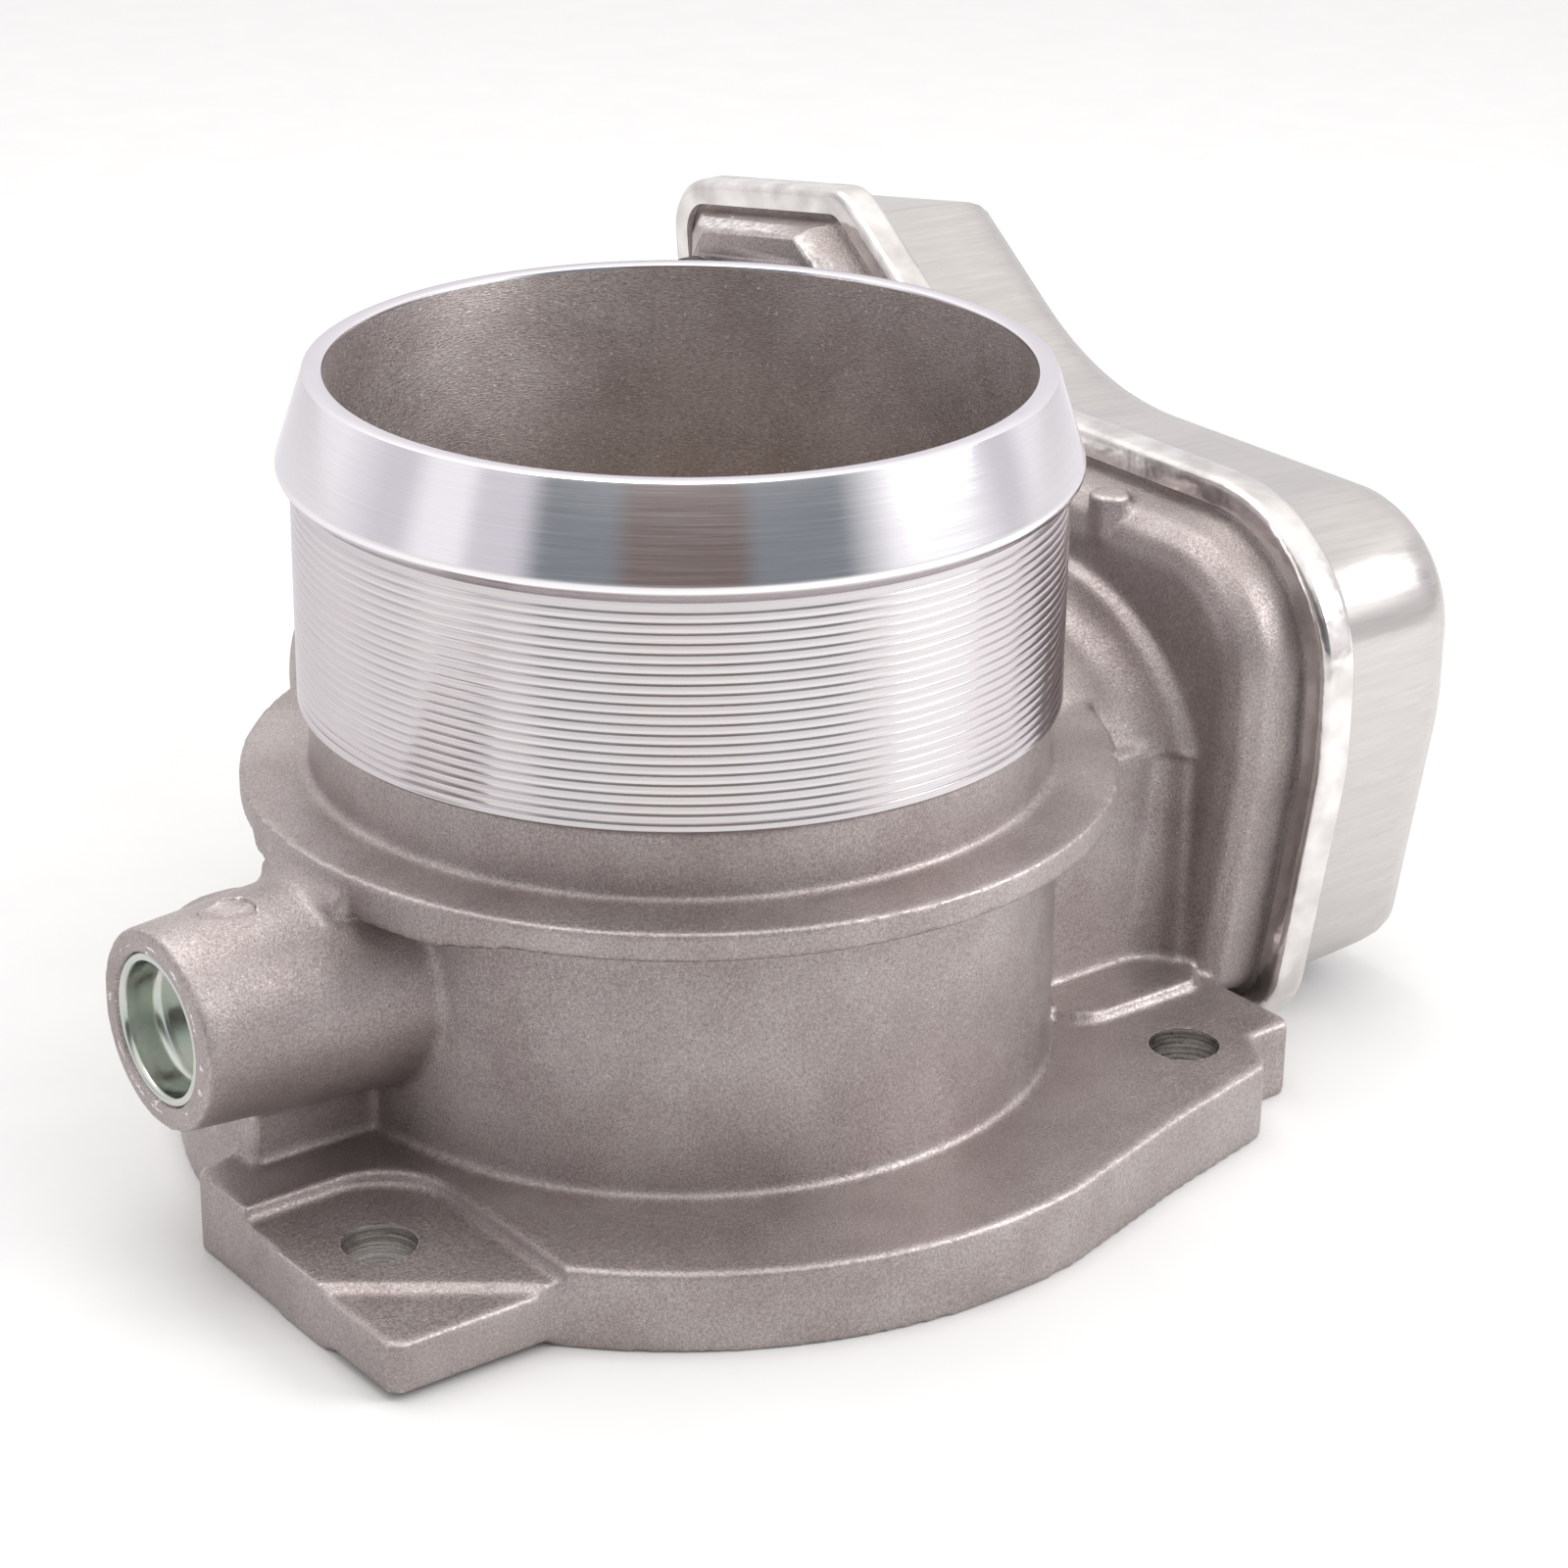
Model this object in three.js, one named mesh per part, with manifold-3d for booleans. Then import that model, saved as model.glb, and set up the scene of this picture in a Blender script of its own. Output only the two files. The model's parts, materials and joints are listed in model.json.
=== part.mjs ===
// Electronic throttle body, drive-by-wire, with a large hose spigot.
// Millimetres. +Z runs up the air bore, +X runs along the throttle shaft towards the gear housing.
// Every piece is drawn about the bore axis with the gasket face at z = 0, and the whole assembly is
// then shifted in X and Y so that its origin lies at the bottom centre of its bounding box.
import * as THREE from 'three';
import { mergeVertices } from 'three/addons/utils/BufferGeometryUtils.js';
import Module from 'manifold-3d';

const wasm = await Module();
wasm.setup();

// ---------- driving dimensions ----------

const BORE_AXIS_X = -14.0; // bore axis measured from the centre of the bounding box
const BORE_AXIS_Y = -18.1;

const BORE_R = 45.0;
const RIM_BORE_R = 46.1;
const BODY_R = 50.8;
const NECK_R = 49.4;
const COLLAR_R = 58.8;
const COLLAR_BOTTOM_Z = 47.6;
const COLLAR_TOP_Z = 51.7;
const SPIGOT_R = 50.8;
const SPIGOT_BASE_Z = 61.3;
const BEAD_BASE_Z = 90.3;
const BEAD_R = 52.4;
const BEAD_Z = 93.6;
const RIM_OUTER_R = 48.9;
const RIM_Z = 105.7;

const FLANGE_T = 11.2;
const FLANGE_R = 70.0;
const LUG_LIFT = 1.2; // the left lug's front corner stands this far off the gasket face
const BOLT_R = 4.85;
const BOLT_HOLES = [[-64.6, -25.0], [51.2, -46.6], [-30.0, 62.6]];
const BOLT_PAD_R = 12.5;
const GASKET_IN_R = 54.0;
const GASKET_OUT_R = 58.0;
const GASKET_DEPTH = 2.6;

const SHAFT_Z = 33.25;
const SHAFT_R = 5.0;
const SHAFT_X0 = -71.0;
const SHAFT_X1 = 84.4;
const SHAFT_HOLE_R = 5.4;
const SLOT_T = 3.1; // slot through the shaft for the throttle plate
const PLATE_T = 2.4;
const PLATE_R = 44.6;
const PLATE_REST = THREE.MathUtils.degToRad(7); // rest opening with no current in the motor
const PLATE_SCREW_Y = 26.0; // distance of each plate screw from the bore axis, along the shaft

const BOSS_END_X = -81.0;
const BOSS_R = 13.2;
const BOSS_ROOT_R = 15.2;
const PLUG_R = 10.1;
const PLUG_DEPTH = 7.0;
const NEEDLE_X = [-70.0, -58.0];
const NEEDLE_R = 7.0;
const SEAL_R = 8.0;
const IDLE_SEAL_X = [-56.4, -52.4];
const DRIVE_SEAL_X = [52.0, 56.0];
const BALL_X = [57.0, 65.0];
const BALL_BEARING_R = 13.0;
const CIRCLIP_X = [65.2, 66.4];

const DRUM_R = 27.0;
const DRUM_X0 = 30.0;
const BLOCK_TOP_Z = 45.5;
const PAN_BACK_X = 66.5;
const PAN_FLOOR_X = 69.5;
const PAN_RIM_X = 77.0; // front of the pan's crimping flange
const PAN_FLANGE_X = 79.2; // back of the pan's crimping flange
const SPRING_POCKET_R = 16.0;
const BACK_CORNER = [[66.5, 88.5], [77.0, 102.8]]; // sloped end wall of the upper back corner, [x, y]
const BACK_CORNER_Z = [77.0, 110.0];
const PAN_WALL = 2.4;

const SECTOR_TEETH = 50;
const IDLER_SMALL_TEETH = 22;
const IDLER_LARGE_TEETH = 70;
const PINION_TEETH = 15;
const COARSE_MODULE = 1.0;
const FINE_MODULE = 0.8;
const SECTOR_X = [80.6, 87.2];
const FINE_GEAR_X = [88.8, 95.2];
const MOTOR_Y = 69.5;
const MOTOR_Z = 36.0;
const MOTOR_R = 18.0;
const MOTOR_TUBE_R = 20.9;
const MOTOR_BORE_R = 18.6;
const MOTOR_TUBE_X = -10.0;
const MOTOR_X = [-4.0, 60.0];

const COVER_END_X = 109.0;
const COVER_SHEET = 1.2;
const CARRIER_X = [99.0, 101.4];
const BOARD_X = [101.8, 103.4];
const POST_R = 3.6;
const POSTS = [[-24.0, 60.0], [-26.0, 13.5], [52.0, 76.0], [87.0, 64.0]];

const BRACKET_SCREWS = [[54.0, 51.5], [85.0, 51.5]];
const STOP_POSTS = [[-4.05, 15.6], [-9.0, 51.3]]; // closed stop and wide-open stop
const STOP_POST_R = 2.0;

const CONNECTOR_Y = [61.0, 87.0];
const CONNECTOR_Z = [68.5, 87.5];
const CONNECTOR_X0 = 38.0;
const CONNECTOR_WALL = 2.0;
const CONNECTOR_WEB_X = 58.0;
const CONNECTOR_SCREWS = [[57.6, 70.5], [90.0, 70.5]];
const PIN_Y = [67.0, 74.0, 81.0];
const PIN_Z = [74.8, 81.2];

// Gear housing outline seen along X: [y, z, corner radius], anticlockwise.
const HOUSING_CORNERS = [
  [-37.7, 0.6, 12], // lower front
  [58.0, 0.6, 20], // bottom, towards the motor
  [98.0, 18.0, 24], // round the motor
  [107.2, 96.2, 9], // upper back
  [63.5, 103.5, 7], // connector end
  [33.8, 80.8, 45], // waist, curved inwards
  [-45.2, 80.8, 24.5], // upper front
  [-45.2, 44.5, 50], // front
];

// ---------- materials ----------

function material(color, roughness, metalness) {
  return new THREE.MeshStandardMaterial({ color, roughness, metalness });
}

const CAST = material('#9f9794', 0.6, 0.85);
const STEEL = material('#b9bcc0', 0.3, 1.0);
const STAINLESS = material('#d8d4cd', 0.25, 1.0);
const ZINC = material('#c3cfc4', 0.3, 1.0);
const BRASS = material('#b89a55', 0.35, 1.0);
const RUBBER = material('#1c1c1e', 0.8, 0.0);
const BLACK_PLASTIC = material('#17181b', 0.5, 0.0);
const GEAR_PLASTIC = material('#d8d2c0', 0.5, 0.0);
const MAGNET = material('#4a4a4d', 0.5, 0.6);
const BOARD = material('#1f6a3c', 0.45, 0.1);
const CONTACT = material('#cfc9b4', 0.3, 1.0);

// ---------- solids ----------

// A closed geometry becomes a solid that can be joined and cut, its faces turned to point out.
function solid(geometry) {
  const bare = geometry.clone();
  bare.deleteAttribute('normal');
  bare.deleteAttribute('uv');
  const merged = mergeVertices(bare, 1e-4);
  const position = merged.getAttribute('position').array;
  const corners = [];
  let volume = 0;
  for (let i = 0; i < merged.index.count; i += 3) {
    const [a, b, c] = [0, 1, 2].map((k) => merged.index.getX(i + k));
    if (a === b || b === c || c === a) continue;
    corners.push(a, b, c);
    const [p, q, r] = [a, b, c].map((v) => new THREE.Vector3().fromArray(position, 3 * v));
    volume += p.dot(q.cross(r));
  }
  if (volume < 0) corners.reverse();
  const mesh = new wasm.Mesh({
    numProp: 3,
    vertProperties: new Float32Array(position),
    triVerts: new Uint32Array(corners),
  });
  return new wasm.Manifold(mesh);
}

function join(first, ...others) {
  return others.reduce((whole, piece) => whole.add(piece), first);
}

function cut(first, ...tools) {
  return tools.reduce((whole, tool) => whole.subtract(tool), first);
}

// Profile of [radius, height] turned about the Z axis.
function turned(profile, segments = 48) {
  const points = profile.map(([radius, height]) => new THREE.Vector2(radius, height));
  return solid(new THREE.LatheGeometry(points, segments).rotateX(Math.PI / 2));
}

// Profile of [radius, x] turned about a line along X through (y, z).
function turnedAlongX(profile, y, z, segments = 40) {
  const points = profile.map(([radius, x]) => new THREE.Vector2(radius, x));
  return solid(new THREE.LatheGeometry(points, segments).rotateZ(-Math.PI / 2).translate(0, y, z));
}

function rod(radius, x0, x1, y, z, segments = 24) {
  return turnedAlongX([[0, x0], [radius, x0], [radius, x1], [0, x1]], y, z, segments);
}

function sleeve(innerR, outerR, x0, x1, y, z, segments = 24) {
  const profile = [[innerR, x0], [outerR, x0], [outerR, x1], [innerR, x1], [innerR, x0]];
  return turnedAlongX(profile, y, z, segments);
}

function ringUp(innerR, outerR, z0, z1, segments = 32) {
  return turned([[innerR, z0], [outerR, z0], [outerR, z1], [innerR, z1], [innerR, z0]], segments);
}

function post(radius, z0, z1, x, y, segments = 24) {
  const height = z1 - z0;
  const cylinder = new THREE.CylinderGeometry(radius, radius, height, segments);
  return solid(cylinder.rotateX(Math.PI / 2).translate(x, y, z0 + height / 2));
}

function box(x0, x1, y0, y1, z0, z1) {
  const block = new THREE.BoxGeometry(x1 - x0, y1 - y0, z1 - z0);
  return solid(block.translate((x0 + x1) / 2, (y0 + y1) / 2, (z0 + z1) / 2));
}

// A shape in the XY plane drawn up from z0 to z1.
function slab(shape, z0, z1, curveSegments = 14) {
  const options = { depth: z1 - z0, bevelEnabled: false, curveSegments };
  return solid(new THREE.ExtrudeGeometry(shape, options).translate(0, 0, z0));
}

// A shape in the YZ plane drawn along X from x0 to x1.
const YZ_TO_X = new THREE.Matrix4().makeBasis(
  new THREE.Vector3(0, 1, 0),
  new THREE.Vector3(0, 0, 1),
  new THREE.Vector3(1, 0, 0),
);

function slabAlongX(shape, x0, x1, curveSegments = 12) {
  const options = { depth: x1 - x0, bevelEnabled: false, curveSegments };
  const flat = new THREE.ExtrudeGeometry(shape, options);
  return solid(flat.applyMatrix4(YZ_TO_X).translate(x0, 0, 0));
}

function shapeOf(points) {
  return new THREE.Shape(points.map(([u, v]) => new THREE.Vector2(u, v)));
}

// Points of a polygon with rounded corners, moved inwards by inset. Corners are [u, v, radius].
function roundedOutline(corners, inset = 0, steps = 5) {
  const count = corners.length;
  const at = (i) => new THREE.Vector2(...corners[(i + count) % count]);
  const shifted = corners.map((corner, i) => {
    const along = at(i + 1).sub(at(i)).normalize();
    const inward = new THREE.Vector2(-along.y, along.x);
    return { from: at(i).addScaledVector(inward, inset), along, inward };
  });
  return corners.flatMap(([, , radius], i) => {
    const before = shifted[(i - 1 + count) % count];
    const after = shifted[i];
    const cross = before.along.x * after.along.y - before.along.y * after.along.x;
    const gap = after.from.clone().sub(before.from);
    const reach = (gap.x * after.along.y - gap.y * after.along.x) / cross;
    const corner = before.from.clone().addScaledVector(before.along, reach);
    const turn = Math.asin(cross);
    const round = Math.max(turn > 0 ? radius - inset : radius + inset, 0.4);
    const tangent = round * Math.tan(Math.abs(turn) / 2);
    const side = Math.sign(turn);
    const start = corner.clone().addScaledVector(before.along, -tangent);
    const centre = start.clone().addScaledVector(before.inward, side * round);
    const spoke = start.clone().sub(centre);
    return Array.from({ length: steps + 1 }, (_, k) => {
      const swung = spoke.clone().rotateAround(new THREE.Vector2(), (turn * k) / steps);
      return [centre.x + swung.x, centre.y + swung.y];
    });
  });
}

// A solid through a row of rings with equal point counts, capped flat at both ends.
function loft(rings) {
  const size = rings[0].length;
  const vertices = rings.flat(2);
  const faces = [];
  for (let row = 0; row + 1 < rings.length; row += 1) {
    for (let k = 0; k < size; k += 1) {
      const a = row * size + k;
      const b = row * size + ((k + 1) % size);
      faces.push(a, b, b + size, a, b + size, a + size);
    }
  }
  const capOf = (ring) => THREE.ShapeUtils.triangulateShape(
    ring.map(([, y, z]) => new THREE.Vector2(y, z)),
    [],
  );
  const last = (rings.length - 1) * size;
  capOf(rings[0]).forEach(([a, b, c]) => faces.push(a, c, b));
  capOf(rings[rings.length - 1]).forEach(([a, b, c]) => faces.push(last + a, last + b, last + c));
  const geometry = new THREE.BufferGeometry();
  geometry.setAttribute('position', new THREE.Float32BufferAttribute(vertices, 3));
  geometry.setIndex(faces);
  return solid(geometry);
}

// The gear housing outline swept through a profile of [inset, x].
function housingLoft(profile) {
  return loft(profile.map(([inset, x]) => (
    roundedOutline(HOUSING_CORNERS, inset).map(([y, z]) => [x, y, z])
  )));
}

// ---------- assembly ----------

const assembly = new THREE.Group();
assembly.position.set(BORE_AXIS_X, BORE_AXIS_Y, 0);

function add(name, body, look, parent = assembly) {
  const { vertProperties, triVerts } = body.getMesh();
  const geometry = new THREE.BufferGeometry();
  geometry.setAttribute('position', new THREE.BufferAttribute(new Float32Array(vertProperties), 3));
  geometry.setIndex(new THREE.BufferAttribute(new Uint32Array(triVerts), 1));
  geometry.computeVertexNormals();
  const mesh = new THREE.Mesh(geometry, look.clone());
  mesh.name = name;
  parent.add(mesh);
}

// ---------- gear train layout ----------

const SECTOR_R = (SECTOR_TEETH * COARSE_MODULE) / 2;
const IDLER_SMALL_R = (IDLER_SMALL_TEETH * COARSE_MODULE) / 2;
const IDLER_LARGE_R = (IDLER_LARGE_TEETH * FINE_MODULE) / 2;
const PINION_R = (PINION_TEETH * FINE_MODULE) / 2;

// The idler sits where both gear pairs mesh, above the line from the shaft to the motor.
const shaftCentre = new THREE.Vector2(0, SHAFT_Z);
const motorCentre = new THREE.Vector2(MOTOR_Y, MOTOR_Z);
const toMotor = motorCentre.clone().sub(shaftCentre);
const span = toMotor.length();
const firstReach = SECTOR_R + IDLER_SMALL_R;
const secondReach = IDLER_LARGE_R + PINION_R;
const alongSpan = (firstReach ** 2 - secondReach ** 2 + span ** 2) / (2 * span);
const offSpan = Math.sqrt(firstReach ** 2 - alongSpan ** 2);
const ahead = toMotor.clone().normalize();
const idlerCentre = shaftCentre.clone()
  .addScaledVector(ahead, alongSpan)
  .addScaledVector(new THREE.Vector2(-ahead.y, ahead.x), offSpan);
const IDLER_Y = idlerCentre.x;
const IDLER_Z = idlerCentre.y;
const sectorToIdler = idlerCentre.clone().sub(shaftCentre).angle();
const idlerToPinion = motorCentre.clone().sub(idlerCentre).angle();

// Tooth tips and roots round a pitch circle, one tooth centred on the angle given.
function gearPoints(teeth, module, toothAngle, first = 0, count = teeth) {
  const pitchR = (teeth * module) / 2;
  const tip = pitchR + 0.85 * module;
  const root = pitchR - 1.2 * module;
  const pitch = (2 * Math.PI) / teeth;
  return Array.from({ length: count }, (_, i) => {
    const middle = toothAngle + (first + i) * pitch;
    return [[root, -0.32], [tip, -0.11], [tip, 0.11], [root, 0.32]].map(([radius, part]) => [
      radius * Math.cos(middle + part * pitch),
      radius * Math.sin(middle + part * pitch),
    ]);
  }).flat();
}

function gear(teeth, module, toothAngle, x0, x1, y, z) {
  return slabAlongX(shapeOf(gearPoints(teeth, module, toothAngle)), x0, x1).translate([0, y, z]);
}

// ---------- throttle housing: one aluminium casting ----------

function flangeShape() {
  const edge = new THREE.Shape();
  const lugFront = -46.3;
  const arcStart = Math.atan2(lugFront, -Math.sqrt(FLANGE_R ** 2 - lugFront ** 2));
  const arcEnd = Math.atan2(-68.7, 13.4);
  edge.moveTo(-69.2, 2.9);
  edge.lineTo(-74.2, 2.2);
  edge.lineTo(-75.4, 1.0);
  edge.lineTo(-76.2, -26.0);
  edge.lineTo(-76.2, -44.1);
  edge.lineTo(-75.6, -45.6);
  edge.lineTo(-74.1, lugFront);
  edge.absarc(0, 0, FLANGE_R, arcStart, arcEnd, false);
  edge.lineTo(35.6, -62.3);
  edge.lineTo(55.7, -57.7);
  edge.lineTo(57.5, -55.9);
  edge.lineTo(60.3, -50.1);
  edge.lineTo(67.6, -50);
  edge.lineTo(68.6, -48.4);
  edge.lineTo(68.6, 22);
  edge.absarc(0, 0, 71, 0.42, 1.7, false);
  edge.absarc(-30, 62.6, 13, 1.35, 2.9, false);
  edge.absarc(0, 0, FLANGE_R - 1, 2.2, 3.1, false);
  return edge;
}

function flange() {
  const plate = slab(flangeShape(), 0, FLANGE_T);
  const lugZone = slab(shapeOf([[-90, -60], [-45, -60], [-45, -25], [-90, -25]]), -1, LUG_LIFT);
  const kept = join(
    post(FLANGE_R, -2, LUG_LIFT + 1, 0, 0, 48),
    post(BOLT_PAD_R, -2, LUG_LIFT + 1, ...BOLT_HOLES[0]),
  );
  const spotCorners = [[-90, -60, 1], [-51.6, -60, 1], [-51.6, -10.7, 11], [-90, -10.4, 1]];
  const spotFace = slab(shapeOf(roundedOutline(spotCorners)), FLANGE_T - 2.2, FLANGE_T + 5);
  const cornerDrop = slab(
    shapeOf([[-90, -60], [-52.6, -60], [-52.6, -46.2], [-74.0, -30.6], [-75.6, -28.6], [-90, -26.5]]),
    FLANGE_T - 3.1,
    FLANGE_T + 5,
  );
  const terraceCorners = [[41.6, -34.7, 6], [64, -34.7, 0.5], [68.6, -30, 0.5], [68.6, 10, 1],
    [41.6, 10, 1]];
  const terrace = slab(shapeOf(roundedOutline(terraceCorners)), FLANGE_T - 1, FLANGE_T + 1.7);
  return join(cut(plate, cut(lugZone, kept), spotFace, cornerDrop), terrace);
}

function turnedBody() {
  return turned([
    [BORE_R + 1.2, 0],
    [BODY_R, 0],
    [BODY_R, COLLAR_BOTTOM_Z],
    [COLLAR_R, COLLAR_BOTTOM_Z],
    [COLLAR_R, COLLAR_TOP_Z - 0.5],
    [COLLAR_R - 0.5, COLLAR_TOP_Z],
    [NECK_R, COLLAR_TOP_Z],
    [NECK_R, SPIGOT_BASE_Z],
    [SPIGOT_R, SPIGOT_BASE_Z],
    [SPIGOT_R, BEAD_BASE_Z],
    [BEAD_R - 0.4, BEAD_Z - 1.4],
    [BEAD_R, BEAD_Z],
    [RIM_OUTER_R, RIM_Z - 0.6],
    [RIM_OUTER_R - 0.6, RIM_Z],
    [RIM_BORE_R, RIM_Z],
    [BORE_R, SPIGOT_BASE_Z],
    [BORE_R, 5],
    [BORE_R + 1.2, 0],
  ], 56);
}

function bearingBoss() {
  const barrel = turnedAlongX([
    [0, BOSS_END_X],
    [BOSS_R - 1.2, BOSS_END_X],
    [BOSS_R - 0.3, BOSS_END_X + 0.5],
    [BOSS_R, BOSS_END_X + 1.6],
    [BOSS_ROOT_R, -52],
    [BOSS_ROOT_R + 3, -47],
    [0, -47],
  ], 0, SHAFT_Z, 28);
  const web = box(-68.5, -48, -2.4, 9, FLANGE_T - 1, SHAFT_Z - 5);
  return join(barrel, web);
}

function driveDrum() {
  const drum = turnedAlongX([
    [0, DRUM_X0],
    [DRUM_R, DRUM_X0],
    [DRUM_R, PAN_BACK_X - 7.5],
    [DRUM_R + 0.6, PAN_BACK_X - 5.2],
    [DRUM_R + 2.2, PAN_BACK_X - 3.3],
    [DRUM_R + 4.2, PAN_BACK_X - 2.3],
    [DRUM_R + 5.2, PAN_BACK_X - 1.0],
    [DRUM_R + 5.2, PAN_BACK_X + 1],
    [0, PAN_BACK_X + 1],
  ], 0, SHAFT_Z, 32);
  const arch = drum.intersect(box(DRUM_X0, PAN_BACK_X + 1, -50, 50, BLOCK_TOP_Z - 1, 90));
  const wall = shapeOf([[-24.4, FLANGE_T - 1], [24.4, FLANGE_T - 1], [25.6, BLOCK_TOP_Z],
    [-25.6, BLOCK_TOP_Z]]);
  const foot = [[58, 24.2], [62.5, 25.4], [64.5, 26.8], [65.6, 29], [PAN_BACK_X + 1, 29.5]];
  const mirrored = foot.map(([x, y]) => [x, -y]);
  const flare = slab(shapeOf([...mirrored, ...foot.reverse()]), FLANGE_T - 1, BLOCK_TOP_Z);
  return join(arch, flare, slabAlongX(wall, DRUM_X0, PAN_BACK_X + 1));
}

// The space beyond the sloped end wall of the pan's upper back corner, moved inwards by inset.
function backCorner(inset) {
  const [foot, top] = BACK_CORNER.map(([x, y]) => new THREE.Vector2(x, y));
  const along = top.clone().sub(foot).normalize();
  const inward = new THREE.Vector2(along.y, -along.x).multiplyScalar(inset);
  const start = foot.clone().addScaledVector(along, -10).add(inward);
  const end = top.clone().add(inward);
  const outline = [[start.x, start.y], [end.x, end.y], [end.x, end.y + 20], [start.x, end.y + 20]];
  return slab(shapeOf(outline), BACK_CORNER_Z[0] + inset, BACK_CORNER_Z[1]);
}

function gearPan() {
  const outside = housingLoft([
    [11.0, PAN_BACK_X],
    [8.0, PAN_BACK_X + 1.2],
    [6.0, PAN_BACK_X + 3.8],
    [5.0, PAN_RIM_X],
    [1.8, PAN_RIM_X],
    [1.8, PAN_FLANGE_X],
  ]);
  const motorTube = turnedAlongX([
    [0, MOTOR_TUBE_X],
    [MOTOR_TUBE_R - 6, MOTOR_TUBE_X],
    [MOTOR_TUBE_R - 2, MOTOR_TUBE_X + 1.4],
    [MOTOR_TUBE_R - 0.3, MOTOR_TUBE_X + 4.6],
    [MOTOR_TUBE_R, MOTOR_TUBE_X + 8],
    [MOTOR_TUBE_R + 0.8, PAN_BACK_X - 3],
    [MOTOR_TUBE_R + 3, PAN_BACK_X + 1],
    [0, PAN_BACK_X + 1],
  ], MOTOR_Y, MOTOR_Z, 24);
  const bridge = box(-2, PAN_BACK_X + 1, 40, 60, 24, 46);
  const castPad = post(3.0, 70, 76.6, 68.8, -7.5);
  return join(cut(outside, backCorner(0)), motorTube, bridge, castPad);
}

function panInside() {
  const inside = housingLoft([
    [9.4, PAN_FLOOR_X],
    [8.4, PAN_FLOOR_X + 1.2],
    [7.9, PAN_FLANGE_X + 1],
  ]);
  const posts = POSTS.map(([y, z]) => rod(POST_R, PAN_FLOOR_X - 1, 90, y, z, 14));
  const stops = STOP_POSTS.map(([y, z]) => rod(STOP_POST_R, PAN_FLOOR_X - 1, 90, y, z, 12));
  const idlerBoss = rod(5.6, PAN_FLOOR_X - 1, 75, IDLER_Y, IDLER_Z, 24);
  return cut(inside, ...posts, ...stops, idlerBoss, backCorner(PAN_WALL));
}

function throttleHousing() {
  const bore = turned([
    [0, -5],
    [BORE_R + 1.2, -5],
    [BORE_R + 1.2, 0],
    [BORE_R, 5],
    [BORE_R, SPIGOT_BASE_Z],
    [RIM_BORE_R, RIM_Z],
    [RIM_BORE_R, RIM_Z + 5],
    [0, RIM_Z + 5],
  ], 56);
  const raw = join(turnedBody(), flange(), bearingBoss(), driveDrum(), gearPan());
  const hollow = cut(raw, bore, panInside());
  const posts = POSTS.map(([y, z]) => (
    rod(POST_R, PAN_FLOOR_X - 0.5, CARRIER_X[0] - 0.3, y, z, 14)
  ));
  const stops = STOP_POSTS.map(([y, z]) => (
    rod(STOP_POST_R, PAN_FLOOR_X - 0.5, SECTOR_X[1] - 1, y, z, 12)
  ));
  const shaftLine = (radius, x0, x1, segments = 28) => rod(radius, x0, x1, 0, SHAFT_Z, segments);
  const tools = [
    shaftLine(SHAFT_HOLE_R, -75, 75),
    shaftLine(NEEDLE_R + 0.1, -75, NEEDLE_X[1] + 0.1),
    shaftLine(PLUG_R + 0.1, BOSS_END_X - 1, BOSS_END_X + PLUG_DEPTH + 0.4, 32),
    shaftLine(SEAL_R + 0.1, NEEDLE_X[1] - 1, IDLE_SEAL_X[1] + 0.1),
    shaftLine(SEAL_R + 0.1, DRIVE_SEAL_X[0] - 0.1, BALL_X[0]),
    shaftLine(BALL_BEARING_R + 0.1, BALL_X[0] - 0.1, 75, 32),
    shaftLine(BALL_BEARING_R + 1.1, CIRCLIP_X[0] - 0.1, CIRCLIP_X[1] + 0.1, 32),
    shaftLine(SPRING_POCKET_R, PAN_BACK_X + 0.4, 75, 32),
    rod(MOTOR_BORE_R, MOTOR_TUBE_X + 4, 75, MOTOR_Y, MOTOR_Z, 32),
    rod(3.1, PAN_FLOOR_X - 1.5, 80, IDLER_Y, IDLER_Z),
    box(PAN_BACK_X - 2, 75, CONNECTOR_Y[0] + 1, CONNECTOR_Y[1] - 1, CONNECTOR_Z[0] + 1,
      CONNECTOR_Z[1] - 1),
    ringUp(GASKET_IN_R, GASKET_OUT_R, -1, GASKET_DEPTH),
    ...BOLT_HOLES.map(([x, y]) => post(BOLT_R, -5, 30, x, y)),
    ...POSTS.map(([y, z]) => rod(1.35, CARRIER_X[0] - 10, CARRIER_X[0] + 1, y, z, 10)),
    ...BRACKET_SCREWS.map(([y, z]) => rod(1.75, PAN_FLOOR_X - 2.2, 75, y, z, 10)),
    ...CONNECTOR_SCREWS.map(([y, z]) => rod(1.75, PAN_BACK_X - 1, PAN_BACK_X + 2.4, y, z, 10)),
  ];
  return cut(join(hollow, ...posts, ...stops), ...tools);
}

add('throttle_housing', throttleHousing(), CAST);

// ---------- idle-side bearing, plug and seals ----------

function cupPlug() {
  const floor = BOSS_END_X + PLUG_DEPTH - 0.2;
  return turnedAlongX([
    [0, floor - 1.3],
    [7.9, floor - 1.3],
    [8.7, floor - 2.1],
    [8.7, BOSS_END_X + 0.8],
    [9.1, BOSS_END_X + 0.2],
    [9.9, BOSS_END_X + 0.2],
    [PLUG_R - 0.1, BOSS_END_X + 0.5],
    [PLUG_R - 0.1, floor - 0.8],
    [PLUG_R - 0.8, floor],
    [0, floor],
  ], 0, SHAFT_Z, 28);
}

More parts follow.
